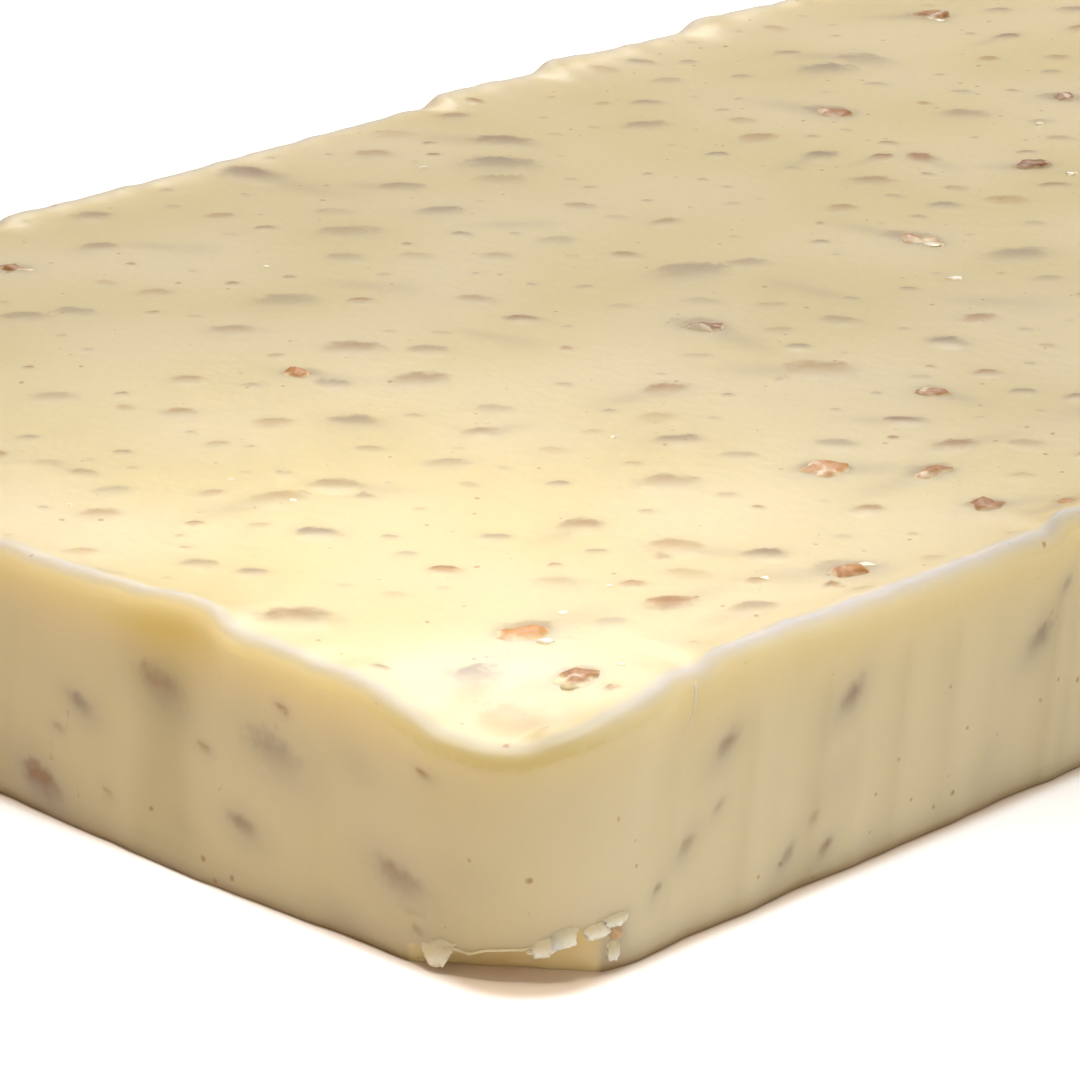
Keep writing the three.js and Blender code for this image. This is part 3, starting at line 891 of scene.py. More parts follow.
def sunk_nuts(sizes, nuts):
    """Nuts under the surface, clear of those in the top: the listed ones, then a scatter between them."""
    rows = []
    for x, y, length, turn, shows, tone in SUNK_NUTS:
        heading = NUT_HEADING + math.radians(turn)
        drawn = SUNK_DRAWN * length * MM
        rows.append((x * MM, y * MM, drawn, heading, SUNK_RISE * shows, SUNK_DARKER * shows, tone))
    taken = [(nut.x, nut.y, nut.length) for nut in nuts] + [row[:3] for row in rows]
    draw = draws_from(SUNK_SEED)
    columns = int(sizes.length / SUNK_PITCH)
    lines = int(sizes.width / SUNK_PITCH)
    for column in range(columns):
        for line in range(lines):
            x = (column + next(draw) - columns / 2) * SUNK_PITCH
            y = (line + next(draw) - lines / 2) * SUNK_PITCH
            present = next(draw) < SUNK_SHARE
            length = pick(SUNK_LENGTH, draw, SUNK_LENGTH_POWER)
            shows = pick(SUNK_SHOWS, draw, SUNK_SHOWS_POWER)
            heading = NUT_HEADING + SUNK_HEADING_SPREAD * (next(draw) - 0.5)
            tone = next(draw) ** 2
            apart = [math.hypot(x - row[0], y - row[1]) - (length + row[2]) / 2 for row in taken]
            if present and min(apart) > SUNK_CLEARANCE:
                rows.append((x, y, length, heading, SUNK_RISE * shows, shows, tone))
                taken.append((x, y, length))
    return rows


def press_top_nuts(surface, x, y, sizes):
    """Mounds over the nuts in the top, bare ones as a low collar, and the many that lie deeper."""
    nuts = nuts_in_top(sizes)
    for nut in nuts:
        size = (nut.length * NUT_SUNK_SHARE, nut.width * NUT_SUNK_SHARE)
        spot = (nut.x, nut.y)
        if nut.bare:
            collar = (size[0] * COLLAR_SIZE, size[1] * COLLAR_SIZE)
            rise = COLLAR_SHARE * nut.stands
            tone = COLLAR_TONE * nut.tone
            surface.press(x, y, spot, collar, nut.heading, SPREAD_HEADING, rise, COLLAR_SHOWS, tone)
        else:
            mound = (size[0] * MOUND_SIZE, size[1] * MOUND_SIZE)
            rise = MOUND_SHARE * nut.stands
            if nut.clear > OUTLINED:
                surface.press(x, y, spot, mound, nut.heading, SPREAD_HEADING, rise, nut.clear, nut.tone)
            else:
                surface.shade(x, y, spot, mound, nut.heading, nut.clear)
        tail = nut.length * math.copysign(TAIL_STEP, math.sin(nut.x / MM))
        spot = (nut.x + tail * math.cos(nut.heading), nut.y + tail * math.sin(nut.heading))
        tail_size = (TAIL_LENGTH * size[0], TAIL_WIDTH * size[1])
        surface.shade(x, y, spot, tail_size, nut.heading, TAIL_SHOWS)
    for *spot, length, heading, rise, shows, tone in sunk_nuts(sizes, nuts):
        size = (length, SUNK_ASPECT * length)
        surface.press(x, y, spot, size, heading, SPREAD_HEADING, rise, shows, tone)


def press_wall_nuts(surface, along, height, form):
    """Dark blots of nuts behind the walls' surface: the ones that stand out, then a scatter of others."""
    leans = {"left": LEAN_LEFT, "front": LEAN_FRONT}
    rows = [(form.along_wall(wall, place * MM), leans[wall], *rest) for wall, place, *rest in WALL_NUTS]
    draw = draws_from(WALL_SEED)
    for step in range(int(form.perimeter / WALL_PITCH)):
        place = (step + next(draw)) * WALL_PITCH
        middle = pick(WALL_HEIGHT, draw)
        length = pick(WALL_LENGTH, draw, WALL_LENGTH_POWER)
        darkness = pick(WALL_DARKNESS, draw)
        tone = WALL_BROWNEST * next(draw)
        if not form.photo_side(place):
            lean = LEAN_FRONT if step % 2 else LEAN_LEFT
            rows.append((place, lean, middle, length, darkness, tone))
    for place, heading, middle, length, darkness, tone in rows:
        drawn = WALL_DRAWN * length * MM
        size = (WALL_ALONG * drawn, WALL_ACROSS * drawn)
        blot = (BLOT_ALONG * size[0], BLOT_ACROSS * size[1])
        offset = form.apart(place, along)
        spot = (0, middle * MM)
        surface.shade(offset, height, spot, blot, heading, BLOT_SHOWS * darkness)
        if darkness > WALL_OUTLINED:
            surface.press(offset, height, spot, size, heading, math.pi / 2, 0.0, darkness, WALL_TONE * tone)


class Edge:
    """Painted light and shade of the slab's points, from where they lie on its edge and walls."""

    def __init__(self, form, along, depth, height):
        rim_round = form.sizes.rim_round
        curve = 1 - np.clip(depth / rim_round, 0, 1)
        past_corner = form.apart(form.perimeter - form.arc / 2, along)
        beside = [np.mod(along + step * MM, form.perimeter) for step in LIP_PLACES]
        lip = np.mean([form.lip(place) for place in beside], axis=0)
        self.depth = depth
        self.height = height
        self.on_top = depth >= 0
        self.below = np.maximum(-depth, 0)
        self.drop = rim_round * (1 - np.sqrt(1 - curve ** 2)) + self.below
        self.lower = np.maximum(self.drop - GOLD_FULL, 0)
        self.on_front = smooth_step(past_corner, -SIDE_BLEND, SIDE_BLEND)
        self.at_tear = np.exp(-(past_corner / form.radius) ** 2)
        self.tall = smooth_step(lip, LIP_LOW, LIP_TALL) * (1 - self.on_front)
        self.starts = smooth_step(self.drop, GOLD_START, GOLD_FULL)
        self.starts_slowly = smooth_step(self.drop, GOLD_START, DEEP_FULL)
        self.folds = np.maximum(form.flutes(along) / FLUTE_DARKEST, form.fold_shade(along, height))

    def by_wall(self, left, front):
        """The left wall's value, which blends into the front wall's round the near corner."""
        return left + (front - left) * self.on_front

    def lets_nuts_show(self):
        """0 beside the rim, where no nut shows, and 1 away from it."""
        return np.where(
            self.on_top,
            smooth_step(self.depth, TOP_SHOWS_START, TOP_SHOWS_FULL),
            smooth_step(self.below, WALL_SHOWS_START, WALL_SHOWS_FULL),
        )

    def gold(self):
        """The golden band below the crest: a painted glow of the light that comes through."""
        share = self.by_wall(GOLD_LEFT, GOLD_FRONT) * (1 - self.at_tear)
        return share * self.starts * np.exp(-self.lower / GOLD_REACH)

    def painted_deep_glow(self):
        """Painted deeper glow under lips, on walls and at the torn corner, and a warm tint low on the left
        wall.
        """
        on_wall = self.by_wall(DEEP_ON_LEFT, DEEP_ON_FRONT) * (1 - self.at_tear)
        share = np.maximum(on_wall, DEEP_AT_LIP * self.tall)
        deeper = np.maximum(self.drop - DEEP_FULL, 0)
        on_walls = share * self.starts_slowly * np.exp(-deeper / DEEP_REACH)
        on_corner = DEEP_AT_TEAR * self.at_tear * self.starts * np.exp(-self.lower / DEEP_TEAR_REACH)
        low_left = DEEP_LOW_LEFT * (1 - self.on_front) * smooth_step(self.below, 0, DEEP_FULL)
        return np.maximum(np.maximum(on_walls, low_left), on_corner)

    def pale(self):
        """The pale line on the crest: a painted soft reflection."""
        inwards = np.maximum(self.depth - PALE_MIDDLE, 0) / PALE_INSIDE
        fall = self.by_wall(PALE_FALL_LEFT, PALE_FALL_FRONT)
        share = self.by_wall(PALE_LEFT, PALE_FRONT) * (1 - (1 - PALE_AT_TEAR) * self.at_tear)
        return share * np.exp(-inwards ** 2 - self.drop / fall)

    def shade(self):
        """Shade in flutes and folds, at the torn corner, under lips and down the walls."""
        inside = np.maximum(self.depth, 0)
        on_crest = CREST_SHADE * self.at_tear * np.exp(-(inside / CREST_SHADE_REACH) ** 2)
        below_crest = np.exp(-self.below / CREST_SHADE_FALL) * on_crest
        shade = np.where(self.on_top, on_crest, np.maximum(self.folds, below_crest))
        share = np.maximum(LIP_SHADE * self.tall, FRONT_SHADE * self.on_front)
        share = np.maximum(TEAR_SHADE * self.at_tear, share)
        under_rim = share * self.starts_slowly * np.exp(-self.lower / SHADE_REACH)
        low = 1 - np.clip(self.height / LOW_REACH, 0, 1)
        on_left = (LEFT_SHADE + LOW_SHADE * low) * (1 - self.on_front)
        on_left = on_left * smooth_step(self.below, 0, LEFT_SHADE_FULL)
        return np.minimum(np.maximum(shade, under_rim) + on_left, 1)

    def painted_base_shade(self, torn):
        """The painted brown shade at the very base, where the wall meets the floor and isn't torn."""
        return np.where(self.on_top, 0, np.exp(-self.height / BASE_SHADE_HEIGHT) * (1 - torn))


# Materials

# Sizes of the patterns: clouds and grain of the fudge, spacing and radius of its specks, wrinkles and patches
# of the nuts' skin, and the grains of nut flesh and of torn crust
CLOUD_SIZE = 25 * MM
GRAIN_SIZE = 2 * MM
SPECK_SPACING = 3.2 * MM
SPECK_RADIUS = 0.5 * MM
WRINKLE_SIZE = MM / 1.4
PATCH_SIZE = 2 * MM
FLESH_GRAIN = MM / 1.1
CRUMB_SIZE = MM / 1.3

# Nuts under the surface, in their half sizes: how far the grain shifts their outline along, across and
# towards their near edge, where they start to show, and where they show fully in a wall
OUTLINE_SHAKE = (0.9, 0.9, 0.5)
OUTLINE_START = 1.15
WALL_OUTLINE_FULL = 0.15

# How evenly a nut of the brownest tone shows all over, and how soon a nut is as brown as its tone
EVEN_SHARE = 0.8
BROWN_GAIN = 2.0

# How strongly a speck shows, and the part of its radius over which it fades
SPECK_SHOWS = 0.75
SPECK_EDGE = 0.5


def add_node(tree, kind, settings, links):
    """Adds a node, sets its values and joins its inputs, which are named or numbered."""
    node = tree.nodes.new(kind)
    for name, value in settings.items():
        if isinstance(name, int) or name in node.inputs:
            node.inputs[name].default_value = value
        else:
            setattr(node, name, value)
    for name, source in links.items():
        tree.links.new(source, node.inputs[name])
    return node


def new_material(name):
    """An empty node material and its output's surface socket."""
    material = bpy.data.materials.new(name)
    material.use_nodes = True
    tree = material.node_tree
    tree.nodes.clear()
    output = tree.nodes.new("ShaderNodeOutputMaterial")
    return material, tree, output.inputs["Surface"]


def fudge_material(colours):
    """White fudge, poured and set: waxy and a little translucent, with nuts and specks under its skin."""
    material, tree, surface = new_material("set_white_fudge")
    place = add_node(tree, "ShaderNodeTexCoord", {}, {}).outputs["Object"]
    stored = {
        name: add_node(tree, "ShaderNodeAttribute", {"attribute_name": name}, {}).outputs["Fac"]
        for name in (
            "nut_shows", "nut_halo", "nut_tone", "on_wall",
            "painted_edge_glow", "painted_deep_glow", "painted_rim_reflection", "flute", "torn", "painted_base_shade",
        )
    }
    nut_place = add_node(tree, "ShaderNodeAttribute", {"attribute_name": "nut_place"}, {}).outputs["Vector"]

    # Milky clouds and milky walls, and a grain that breaks up the nuts' outlines
    cloud = add_node(tree, "ShaderNodeTexNoise", {"Scale": 1 / CLOUD_SIZE, "Detail": 0.0}, {"Vector": place})
    grain = add_node(tree, "ShaderNodeTexNoise", {"Scale": 1 / GRAIN_SIZE, "Detail": 2.0}, {"Vector": place})
    paler = add_node(
        tree, "ShaderNodeMapRange", {"From Min": 0.35, "From Max": 0.65, "To Min": 0.0, "To Max": 0.7},
        {"Value": cloud.outputs["Fac"]},
    )
    milkier = add_node(
        tree, "ShaderNodeMath", {"operation": "MAXIMUM"}, {0: paler.outputs["Result"], 1: stored["on_wall"]}
    ).outputs[0]
    colour = add_node(
        tree, "ShaderNodeMix", {"data_type": "RGBA", 6: (*colours.fudge, 1), 7: (*colours.milky, 1)},
        {0: milkier},
    ).outputs[2]

    # Painted golden glow where light comes through below the rim, a painted pale reflection on the rim, dull
    # and painted paler where torn, painted brown shade at the very base and painted shade in the flutes and
    # folds
    layers = {
        "painted_edge_glow": colours.edge,
        "painted_deep_glow": colours.deep,
        "painted_rim_reflection": colours.rim,
        "torn": colours.torn,
        "painted_base_shade": colours.base,
    }
    for name, over in layers.items():
        colour = add_node(
            tree, "ShaderNodeMix", {"data_type": "RGBA", 7: (*over, 1)}, {0: stored[name], 6: colour}
        ).outputs[2]
    colour = add_node(
        tree, "ShaderNodeMix", {"data_type": "RGBA", "blend_type": "MULTIPLY", 7: (*colours.shade, 1)},
        {0: stored["flute"], 6: colour},
    ).outputs[2]

    # Nuts under the surface, their outlines roughened by the grain: grey where they lie deep, and brown
    # and crisp towards the edge where their skin comes near
    shake = add_node(
        tree, "ShaderNodeVectorMath", {"operation": "SUBTRACT", 1: (0.5, 0.5, 0.5)},
        {0: grain.outputs["Color"]},
    ).outputs[0]
    rough_place = add_node(
        tree, "ShaderNodeVectorMath", {"operation": "MULTIPLY_ADD", 1: OUTLINE_SHAKE},
        {0: shake, 2: nut_place},
    ).outputs[0]
    towards = add_node(tree, "ShaderNodeSeparateXYZ", {}, {0: rough_place}).outputs["Z"]
    flat_place = add_node(
        tree, "ShaderNodeVectorMath", {"operation": "MULTIPLY", 1: (1, 1, 0)}, {0: rough_place}
    ).outputs[0]
    from_middle = add_node(
        tree, "ShaderNodeVectorMath", {"operation": "LENGTH"}, {0: flat_place}
    ).outputs["Value"]
    crisp = add_node(
        tree, "ShaderNodeMapRange", {"From Min": -0.3, "From Max": 0.8, "To Min": 0.2, "To Max": 0.7},
        {"Value": towards},
    ).outputs["Result"]
    full_at = add_node(
        tree, "ShaderNodeMix", {"data_type": "FLOAT", 3: WALL_OUTLINE_FULL},
        {0: stored["on_wall"], 2: crisp},
    ).outputs[0]
    body = add_node(
        tree, "ShaderNodeMapRange",
        {"interpolation_type": "SMOOTHSTEP", "From Min": OUTLINE_START, "To Min": 0.0, "To Max": 1.0},
        {"Value": from_middle, "From Max": full_at},
    ).outputs["Result"]
    near_skin = add_node(
        tree, "ShaderNodeMapRange",
        {
            "interpolation_type": "SMOOTHSTEP",
            "From Min": -0.6,
            "From Max": 0.9,
            "To Min": 0.25,
            "To Max": 1.2,
        },
        {"Value": towards},
    ).outputs["Result"]
    even = add_node(
        tree, "ShaderNodeMath", {"operation": "MULTIPLY", 1: EVEN_SHARE}, {0: stored["nut_tone"]}
    ).outputs[0]
    fuller = add_node(tree, "ShaderNodeMath", {"operation": "MAXIMUM"}, {0: near_skin, 1: even}).outputs[0]
    shown = add_node(tree, "ShaderNodeMath", {"operation": "MULTIPLY"}, {0: body, 1: fuller}).outputs[0]
    veiled = add_node(
        tree, "ShaderNodeMath", {"operation": "MULTIPLY_ADD", "use_clamp": True},
        {0: shown, 1: stored["nut_shows"], 2: stored["nut_halo"]},
    ).outputs[0]
    bared = add_node(tree, "ShaderNodeMath", {"operation": "MULTIPLY", 1: BROWN_GAIN}, {0: shown}).outputs[0]
    browner = add_node(
        tree, "ShaderNodeMath", {"operation": "MULTIPLY", "use_clamp": True},
        {0: bared, 1: stored["nut_tone"]},
    ).outputs[0]
    grey = add_node(
        tree, "ShaderNodeMix", {"data_type": "RGBA", 6: (*colours.veil, 1), 7: (*colours.veil_wall, 1)},
        {0: stored["on_wall"]},
    ).outputs[2]
    veil = add_node(
        tree, "ShaderNodeMix", {"data_type": "RGBA", 7: (*colours.veil_skin, 1)}, {0: browner, 6: grey}
    ).outputs[2]
    colour = add_node(
        tree, "ShaderNodeMix", {"data_type": "RGBA"}, {0: veiled, 6: colour, 7: veil}
    ).outputs[2]

    # Crooked specks of nut skin, one in each cell, from nothing up to the largest radius
    crooked = add_node(
        tree, "ShaderNodeVectorMath", {"operation": "MULTIPLY_ADD", 1: (MM, MM, MM)}, {0: shake, 2: place}
    ).outputs[0]
    cells = add_node(tree, "ShaderNodeTexVoronoi", {"Scale": 1 / SPECK_SPACING}, {"Vector": crooked})
    drawn = add_node(tree, "ShaderNodeSeparateColor", {}, {"Color": cells.outputs["Color"]}).outputs["Red"]
    past_edge = add_node(
        tree, "ShaderNodeMath", {"operation": "MULTIPLY_ADD", 1: -SPECK_RADIUS / SPECK_SPACING},
        {0: drawn, 2: cells.outputs["Distance"]},
    ).outputs[0]
    speck = add_node(
        tree, "ShaderNodeMapRange",
        {
            "From Min": -SPECK_EDGE * SPECK_RADIUS / SPECK_SPACING,
            "From Max": 0.0,
            "To Min": SPECK_SHOWS,
            "To Max": 0.0,
        },
        {"Value": past_edge},
    ).outputs["Result"]
    colour = add_node(
        tree, "ShaderNodeMix", {"data_type": "RGBA", 7: (*colours.veil_skin, 1)}, {0: speck, 6: colour}
    ).outputs[2]

    # A waxy sheen that goes dull on the rim and where the fudge is torn, over a faintly uneven skin
    dull = add_node(
        tree, "ShaderNodeMath", {"operation": "MAXIMUM"}, {0: stored["torn"], 1: stored["painted_rim_reflection"]}
    ).outputs[0]
    rough = add_node(tree, "ShaderNodeMapRange", {"To Min": 0.34, "To Max": 0.8}, {"Value": dull})
    bump = add_node(
        tree, "ShaderNodeBump", {"Strength": 0.12, "Distance": 0.4 * MM}, {"Height": grain.outputs["Fac"]}
    )
    shader = add_node(
        tree, "ShaderNodeBsdfPrincipled",
        {
            "IOR": 1.46,
            "subsurface_method": "BURLEY",
            "Subsurface Weight": 0.9,
            "Subsurface Radius": (1.0, 0.8, 0.35),
            "Subsurface Scale": 10 * MM,
        },
        {"Base Color": colour, "Roughness": rough.outputs["Result"], "Normal": bump.outputs["Normal"]},
    )
    tree.links.new(shader.outputs["BSDF"], surface)
    return material


def film_over(tree, colour, colours, grain):
    """Fudge that clings to a nut: a ragged film that thickens towards the slab, painted paler to light the
    nut's shaded sides.
    """
    film = add_node(tree, "ShaderNodeAttribute", {"attribute_name": "film"}, {}).outputs["Fac"]
    ragged = add_node(
        tree, "ShaderNodeMath", {"operation": "MULTIPLY_ADD", 1: 0.9, 2: -0.45}, {0: grain}
    )
    level = add_node(
        tree, "ShaderNodeMath", {"operation": "ADD", "use_clamp": True}, {0: film, 1: ragged.outputs[0]}
    )
    return add_node(
        tree, "ShaderNodeMix", {"data_type": "RGBA", 7: (*colours.film, 1)}, {0: level.outputs[0], 6: colour}
    ).outputs[2]


def nut_skin_material(colours):
    """Roasted nut skin: thin, brown and finely wrinkled, each nut with its own shade."""
    material, tree, surface = new_material("roasted_nut_skin")
    place = add_node(tree, "ShaderNodeTexCoord", {}, {}).outputs["Object"]
    tone = add_node(tree, "ShaderNodeAttribute", {"attribute_name": "skin_tone"}, {}).outputs["Fac"]

    # Wrinkles that vary its shade, and patches
    wrinkle = add_node(
        tree, "ShaderNodeTexNoise", {"Scale": 1 / WRINKLE_SIZE, "Detail": 3.0}, {"Vector": place}
    )
    patch = add_node(tree, "ShaderNodeTexNoise", {"Scale": 1 / PATCH_SIZE, "Detail": 2.0}, {"Vector": place})
    shade = add_node(
        tree, "ShaderNodeMath", {"operation": "MULTIPLY_ADD", 1: 1.2, 2: -0.6}, {0: wrinkle.outputs["Fac"]}
    )
    level = add_node(
        tree, "ShaderNodeMath", {"operation": "ADD", "use_clamp": True}, {0: tone, 1: shade.outputs[0]}
    )
    colour = add_node(
        tree, "ShaderNodeMix",
        {"data_type": "RGBA", 6: (*colours.skin_dark, 1), 7: (*colours.skin_light, 1)}, {0: level.outputs[0]},
    ).outputs[2]

    # Pale flesh where the skin is rubbed off, then the fudge that clings
    rubbed = add_node(
        tree, "ShaderNodeMapRange", {"From Min": 0.56, "From Max": 0.68, "To Min": 0.0, "To Max": 0.5},
        {"Value": patch.outputs["Fac"]},
    ).outputs["Result"]
    colour = add_node(
        tree, "ShaderNodeMix", {"data_type": "RGBA", 7: (*colours.flesh, 1)}, {0: rubbed, 6: colour}
    ).outputs[2]
    colour = film_over(tree, colour, colours, patch.outputs["Fac"])
    bump = add_node(
        tree, "ShaderNodeBump", {"Strength": 0.5, "Distance": 0.2 * MM}, {"Height": wrinkle.outputs["Fac"]}
    )
    shader = add_node(
        tree, "ShaderNodeBsdfPrincipled",
        {
            "IOR": 1.42,
            "Roughness": 0.45,
            "Subsurface Weight": 0.5,
            "Subsurface Radius": (1.0, 0.6, 0.3),
            "Subsurface Scale": 1 * MM,
        },
        {"Base Color": colour, "Normal": bump.outputs["Normal"]},
    )
    tree.links.new(shader.outputs["BSDF"], surface)
    return material


def nut_flesh_material(colours):
    """Cut nut flesh: ivory and oily, with a faint grain."""
    material, tree, surface = new_material("chopped_nut_flesh")
    place = add_node(tree, "ShaderNodeTexCoord", {}, {}).outputs["Object"]

    # Darker grain
    grain = add_node(tree, "ShaderNodeTexNoise", {"Scale": 1 / FLESH_GRAIN, "Detail": 2.0}, {"Vector": place})
    darker = add_node(
        tree, "ShaderNodeMapRange", {"From Min": 0.45, "From Max": 0.8, "To Min": 0.0, "To Max": 0.4},
        {"Value": grain.outputs["Fac"]},
    )
    colour = add_node(
        tree, "ShaderNodeMix",
        {"data_type": "RGBA", 6: (*colours.flesh, 1), 7: (*colours.skin_light, 1)},
        {0: darker.outputs["Result"]},
    ).outputs[2]
    colour = film_over(tree, colour, colours, grain.outputs["Fac"])
    shader = add_node(
        tree, "ShaderNodeBsdfPrincipled", {"IOR": 1.47, "Roughness": 0.3}, {"Base Color": colour}
    )
    tree.links.new(shader.outputs["BSDF"], surface)
    return material


def flake_material(colours):
    """Torn fudge crust: dry, chalky and paler than the waxy skin that it grows out of."""
    material, tree, surface = new_material("torn_fudge_crust")
    place = add_node(tree, "ShaderNodeTexCoord", {}, {}).outputs["Object"]
    crust = add_node(tree, "ShaderNodeAttribute", {"attribute_name": "crust"}, {}).outputs["Fac"]

    # Crumbly grain, chalky and waxy by turns, that gives way to the wall's colour where there is no crust
    grain = add_node(tree, "ShaderNodeTexNoise", {"Scale": 1 / CRUMB_SIZE, "Detail": 3.0}, {"Vector": place})
    waxy = add_node(
        tree, "ShaderNodeMapRange", {"From Min": 0.45, "From Max": 0.7, "To Min": 0.0, "To Max": 0.45},
        {"Value": grain.outputs["Fac"]},
    )
    colour = add_node(
        tree, "ShaderNodeMix", {"data_type": "RGBA", 6: (*colours.flake, 1), 7: (*colours.fudge, 1)},
        {0: waxy.outputs["Result"]},
    )
    colour = add_node(
        tree, "ShaderNodeMix", {"data_type": "RGBA", 6: (*colours.milky, 1)}, {0: crust, 7: colour.outputs[2]}
    )
    bump = add_node(
        tree, "ShaderNodeBump", {"Strength": 0.3, "Distance": 0.2 * MM}, {"Height": grain.outputs["Fac"]}
    )
    shader = add_node(
        tree, "ShaderNodeBsdfPrincipled",
        {
            "IOR": 1.45,
            "Roughness": 0.6,
            "Subsurface Weight": 0.5,
            "Subsurface Radius": (1.0, 0.8, 0.5),
            "Subsurface Scale": 1 * MM,
        },
        {"Base Color": colour.outputs[2], "Normal": bump.outputs["Normal"]},
    )
    tree.links.new(shader.outputs["BSDF"], surface)
    return material


# The warm shadow painted on the floor round the slab: shift towards its near corner, round of its corners,
# and how far out it starts and how far in it is full
SHADOW_SHIFT = 1 * MM
SHADOW_ROUND = 10 * MM
SHADOW_OUT = 1.5 * MM
SHADOW_IN = 2 * MM


def floor_material(stage, sizes):
    """Opal acrylic table: matt white, glowing as if lit from below, with a warm shadow painted round the
    slab.
    """
    material, tree, surface = new_material("opal_acrylic_table")
    place = add_node(tree, "ShaderNodeTexCoord", {}, {}).outputs["Object"]
    inner = (sizes.length / 2 - SHADOW_ROUND, sizes.width / 2 - SHADOW_ROUND, 0)
    vector = place
    for operation, value in (
        ("ADD", (SHADOW_SHIFT, SHADOW_SHIFT, 0)), ("ABSOLUTE", (0, 0, 0)), ("SUBTRACT", inner),
        ("MAXIMUM", (0, 0, 0)),
    ):
        settings = {"operation": operation, 1: value}
        vector = add_node(tree, "ShaderNodeVectorMath", settings, {0: vector}).outputs[0]
    away = add_node(tree, "ShaderNodeVectorMath", {"operation": "LENGTH"}, {0: vector}).outputs["Value"]
    painted_shadow = add_node(
        tree, "ShaderNodeMapRange",
        {
            "interpolation_type": "SMOOTHSTEP",
            "From Min": SHADOW_ROUND + SHADOW_OUT,
            "From Max": SHADOW_ROUND - SHADOW_IN,
            "To Min": 0.0,
            "To Max": 1.0,
        },
        {"Value": away},
    ).outputs["Result"]
    colour = add_node(
        tree, "ShaderNodeMix", {"data_type": "RGBA", 6: (*stage.floor, 1), 7: (*stage.painted_shadow, 1)}, {0: painted_shadow}
    ).outputs[2]
    shader = add_node(tree, "ShaderNodeBsdfDiffuse", {}, {"Color": colour})

    # A weak light from below, but not where the slab lies. It is seen, and lights nothing else
    clear = add_node(
        tree, "ShaderNodeMath", {"operation": "MULTIPLY_ADD", 1: -stage.glow, 2: stage.glow}, {0: painted_shadow}
    )
    seen = add_node(tree, "ShaderNodeLightPath", {}, {}).outputs["Is Camera Ray"]
    strength = add_node(tree, "ShaderNodeMath", {"operation": "MULTIPLY"}, {0: clear.outputs[0], 1: seen})
    glow = add_node(tree, "ShaderNodeEmission", {}, {"Color": colour, "Strength": strength.outputs[0]})
    both = add_node(
        tree, "ShaderNodeAddShader", {}, {0: shader.outputs["BSDF"], 1: glow.outputs["Emission"]}
    )
    tree.links.new(both.outputs["Shader"], surface)
    return material


# Pieces


def add_piece(shape, name, materials):
    """Turns a bmesh into a named object at the origin."""
    mesh = bpy.data.meshes.new(name)
    shape.to_mesh(mesh)
    shape.free()
    for material in materials:
        mesh.materials.append(material)
    piece = bpy.data.objects.new(name, mesh)
    bpy.context.collection.objects.link(piece)
    return piece


def store(mesh, name, values):
    """Keeps one number for each point on the mesh."""
    attribute = mesh.attributes.new(name, "FLOAT", "POINT")
    attribute.data.foreach_set("value", np.asarray(values, dtype=np.float32))


def recall(mesh, name):
    """The numbers that a mesh keeps for its points."""
    values = np.empty(len(mesh.vertices))
    mesh.attributes[name].data.foreach_get("value", values)
    return values


def join_shapes(shapes, layers):
    """Joins separate bmeshes into one that has the named number layers."""
    together = bmesh.new()
    for name in layers:
        together.verts.layers.float.new(name)
    for shape in shapes:
        single = bpy.data.meshes.new("single")
        shape.to_mesh(single)
        shape.free()
        together.from_mesh(single)
        bpy.data.meshes.remove(single)
    return together


def gathered_lines(count, run):
    """Places of mesh lines across a run, crowded towards both ends."""
    index = np.arange(count + 1)
    from_end = np.minimum(index, count - index)
    eased = from_end - EDGE_GATHER * (1 - np.exp(-from_end / EDGE_STEPS))
    middle = count / 2 - EDGE_GATHER * (1 - math.exp(-count / 2 / EDGE_STEPS))
    return np.where(index < count / 2, -1, 1) * (1 - eased / middle) * run / 2


def round_corners(x, y, form):
    """Moves points of the rectangle's corner squares onto quarter discs."""
    part_x = np.maximum(np.abs(x) - form.inner_x, 0) / form.radius
    part_y = np.maximum(np.abs(y) - form.inner_y, 0) / form.radius
    round_x = form.inner_x + form.radius * part_x * np.sqrt(1 - part_y ** 2 / 2)
    round_y = form.inner_y + form.radius * part_y * np.sqrt(1 - part_x ** 2 / 2)
    return (
        np.where(part_x > 0, np.sign(x) * round_x, x),
        np.where(part_y > 0, np.sign(y) * round_y, y),
    )


def top_shape(form):
    """The top as a grid with round corners. Its points keep their distance round the outline."""
    sizes = form.sizes
    shape = bmesh.new()
    bmesh.ops.create_grid(shape, x_segments=sizes.lines_long, y_segments=sizes.lines_across, size=0.5)
    along_layer = shape.verts.layers.float.new("along")
    depth_layer = shape.verts.layers.float.new("depth")
    shape.verts.ensure_lookup_table()
    flat = np.array([vert.co[:2] for vert in shape.verts])
    column = np.rint((flat[:, 0] + 0.5) * sizes.lines_long).astype(int)
    row = np.rint((flat[:, 1] + 0.5) * sizes.lines_across).astype(int)
    x = gathered_lines(sizes.lines_long, sizes.length)[column]
    y = gathered_lines(sizes.lines_across, sizes.width)[row]
    x, y = round_corners(x, y, form)
    depth, out_x, out_y, along = form.outline(x, y)
    crest = form.crest(along)
    wall_top = crest - sizes.rim_round
    offset = form.wall_inset(along, wall_top) * (1 - depth / form.radius)
    x = x - out_x * offset
    y = y - out_y * offset
    top = form.top(x, y)
    from_crest = np.clip(depth / sizes.rim_round, 0, 1)
    rounding = sizes.rim_round * (1 - np.sqrt(1 - (1 - from_crest) ** 2))
    share = np.exp(-np.maximum(depth - sizes.rim_round, 0) / sizes.rim_fall)
    height = top + (crest - top) * share * (depth < form.radius) - rounding
    for vert, place in zip(shape.verts, np.column_stack([x, y, height, along, depth])):
        vert.co = place[:3]
        vert[along_layer] = place[3]
        vert[depth_layer] = place[4]
    return shape


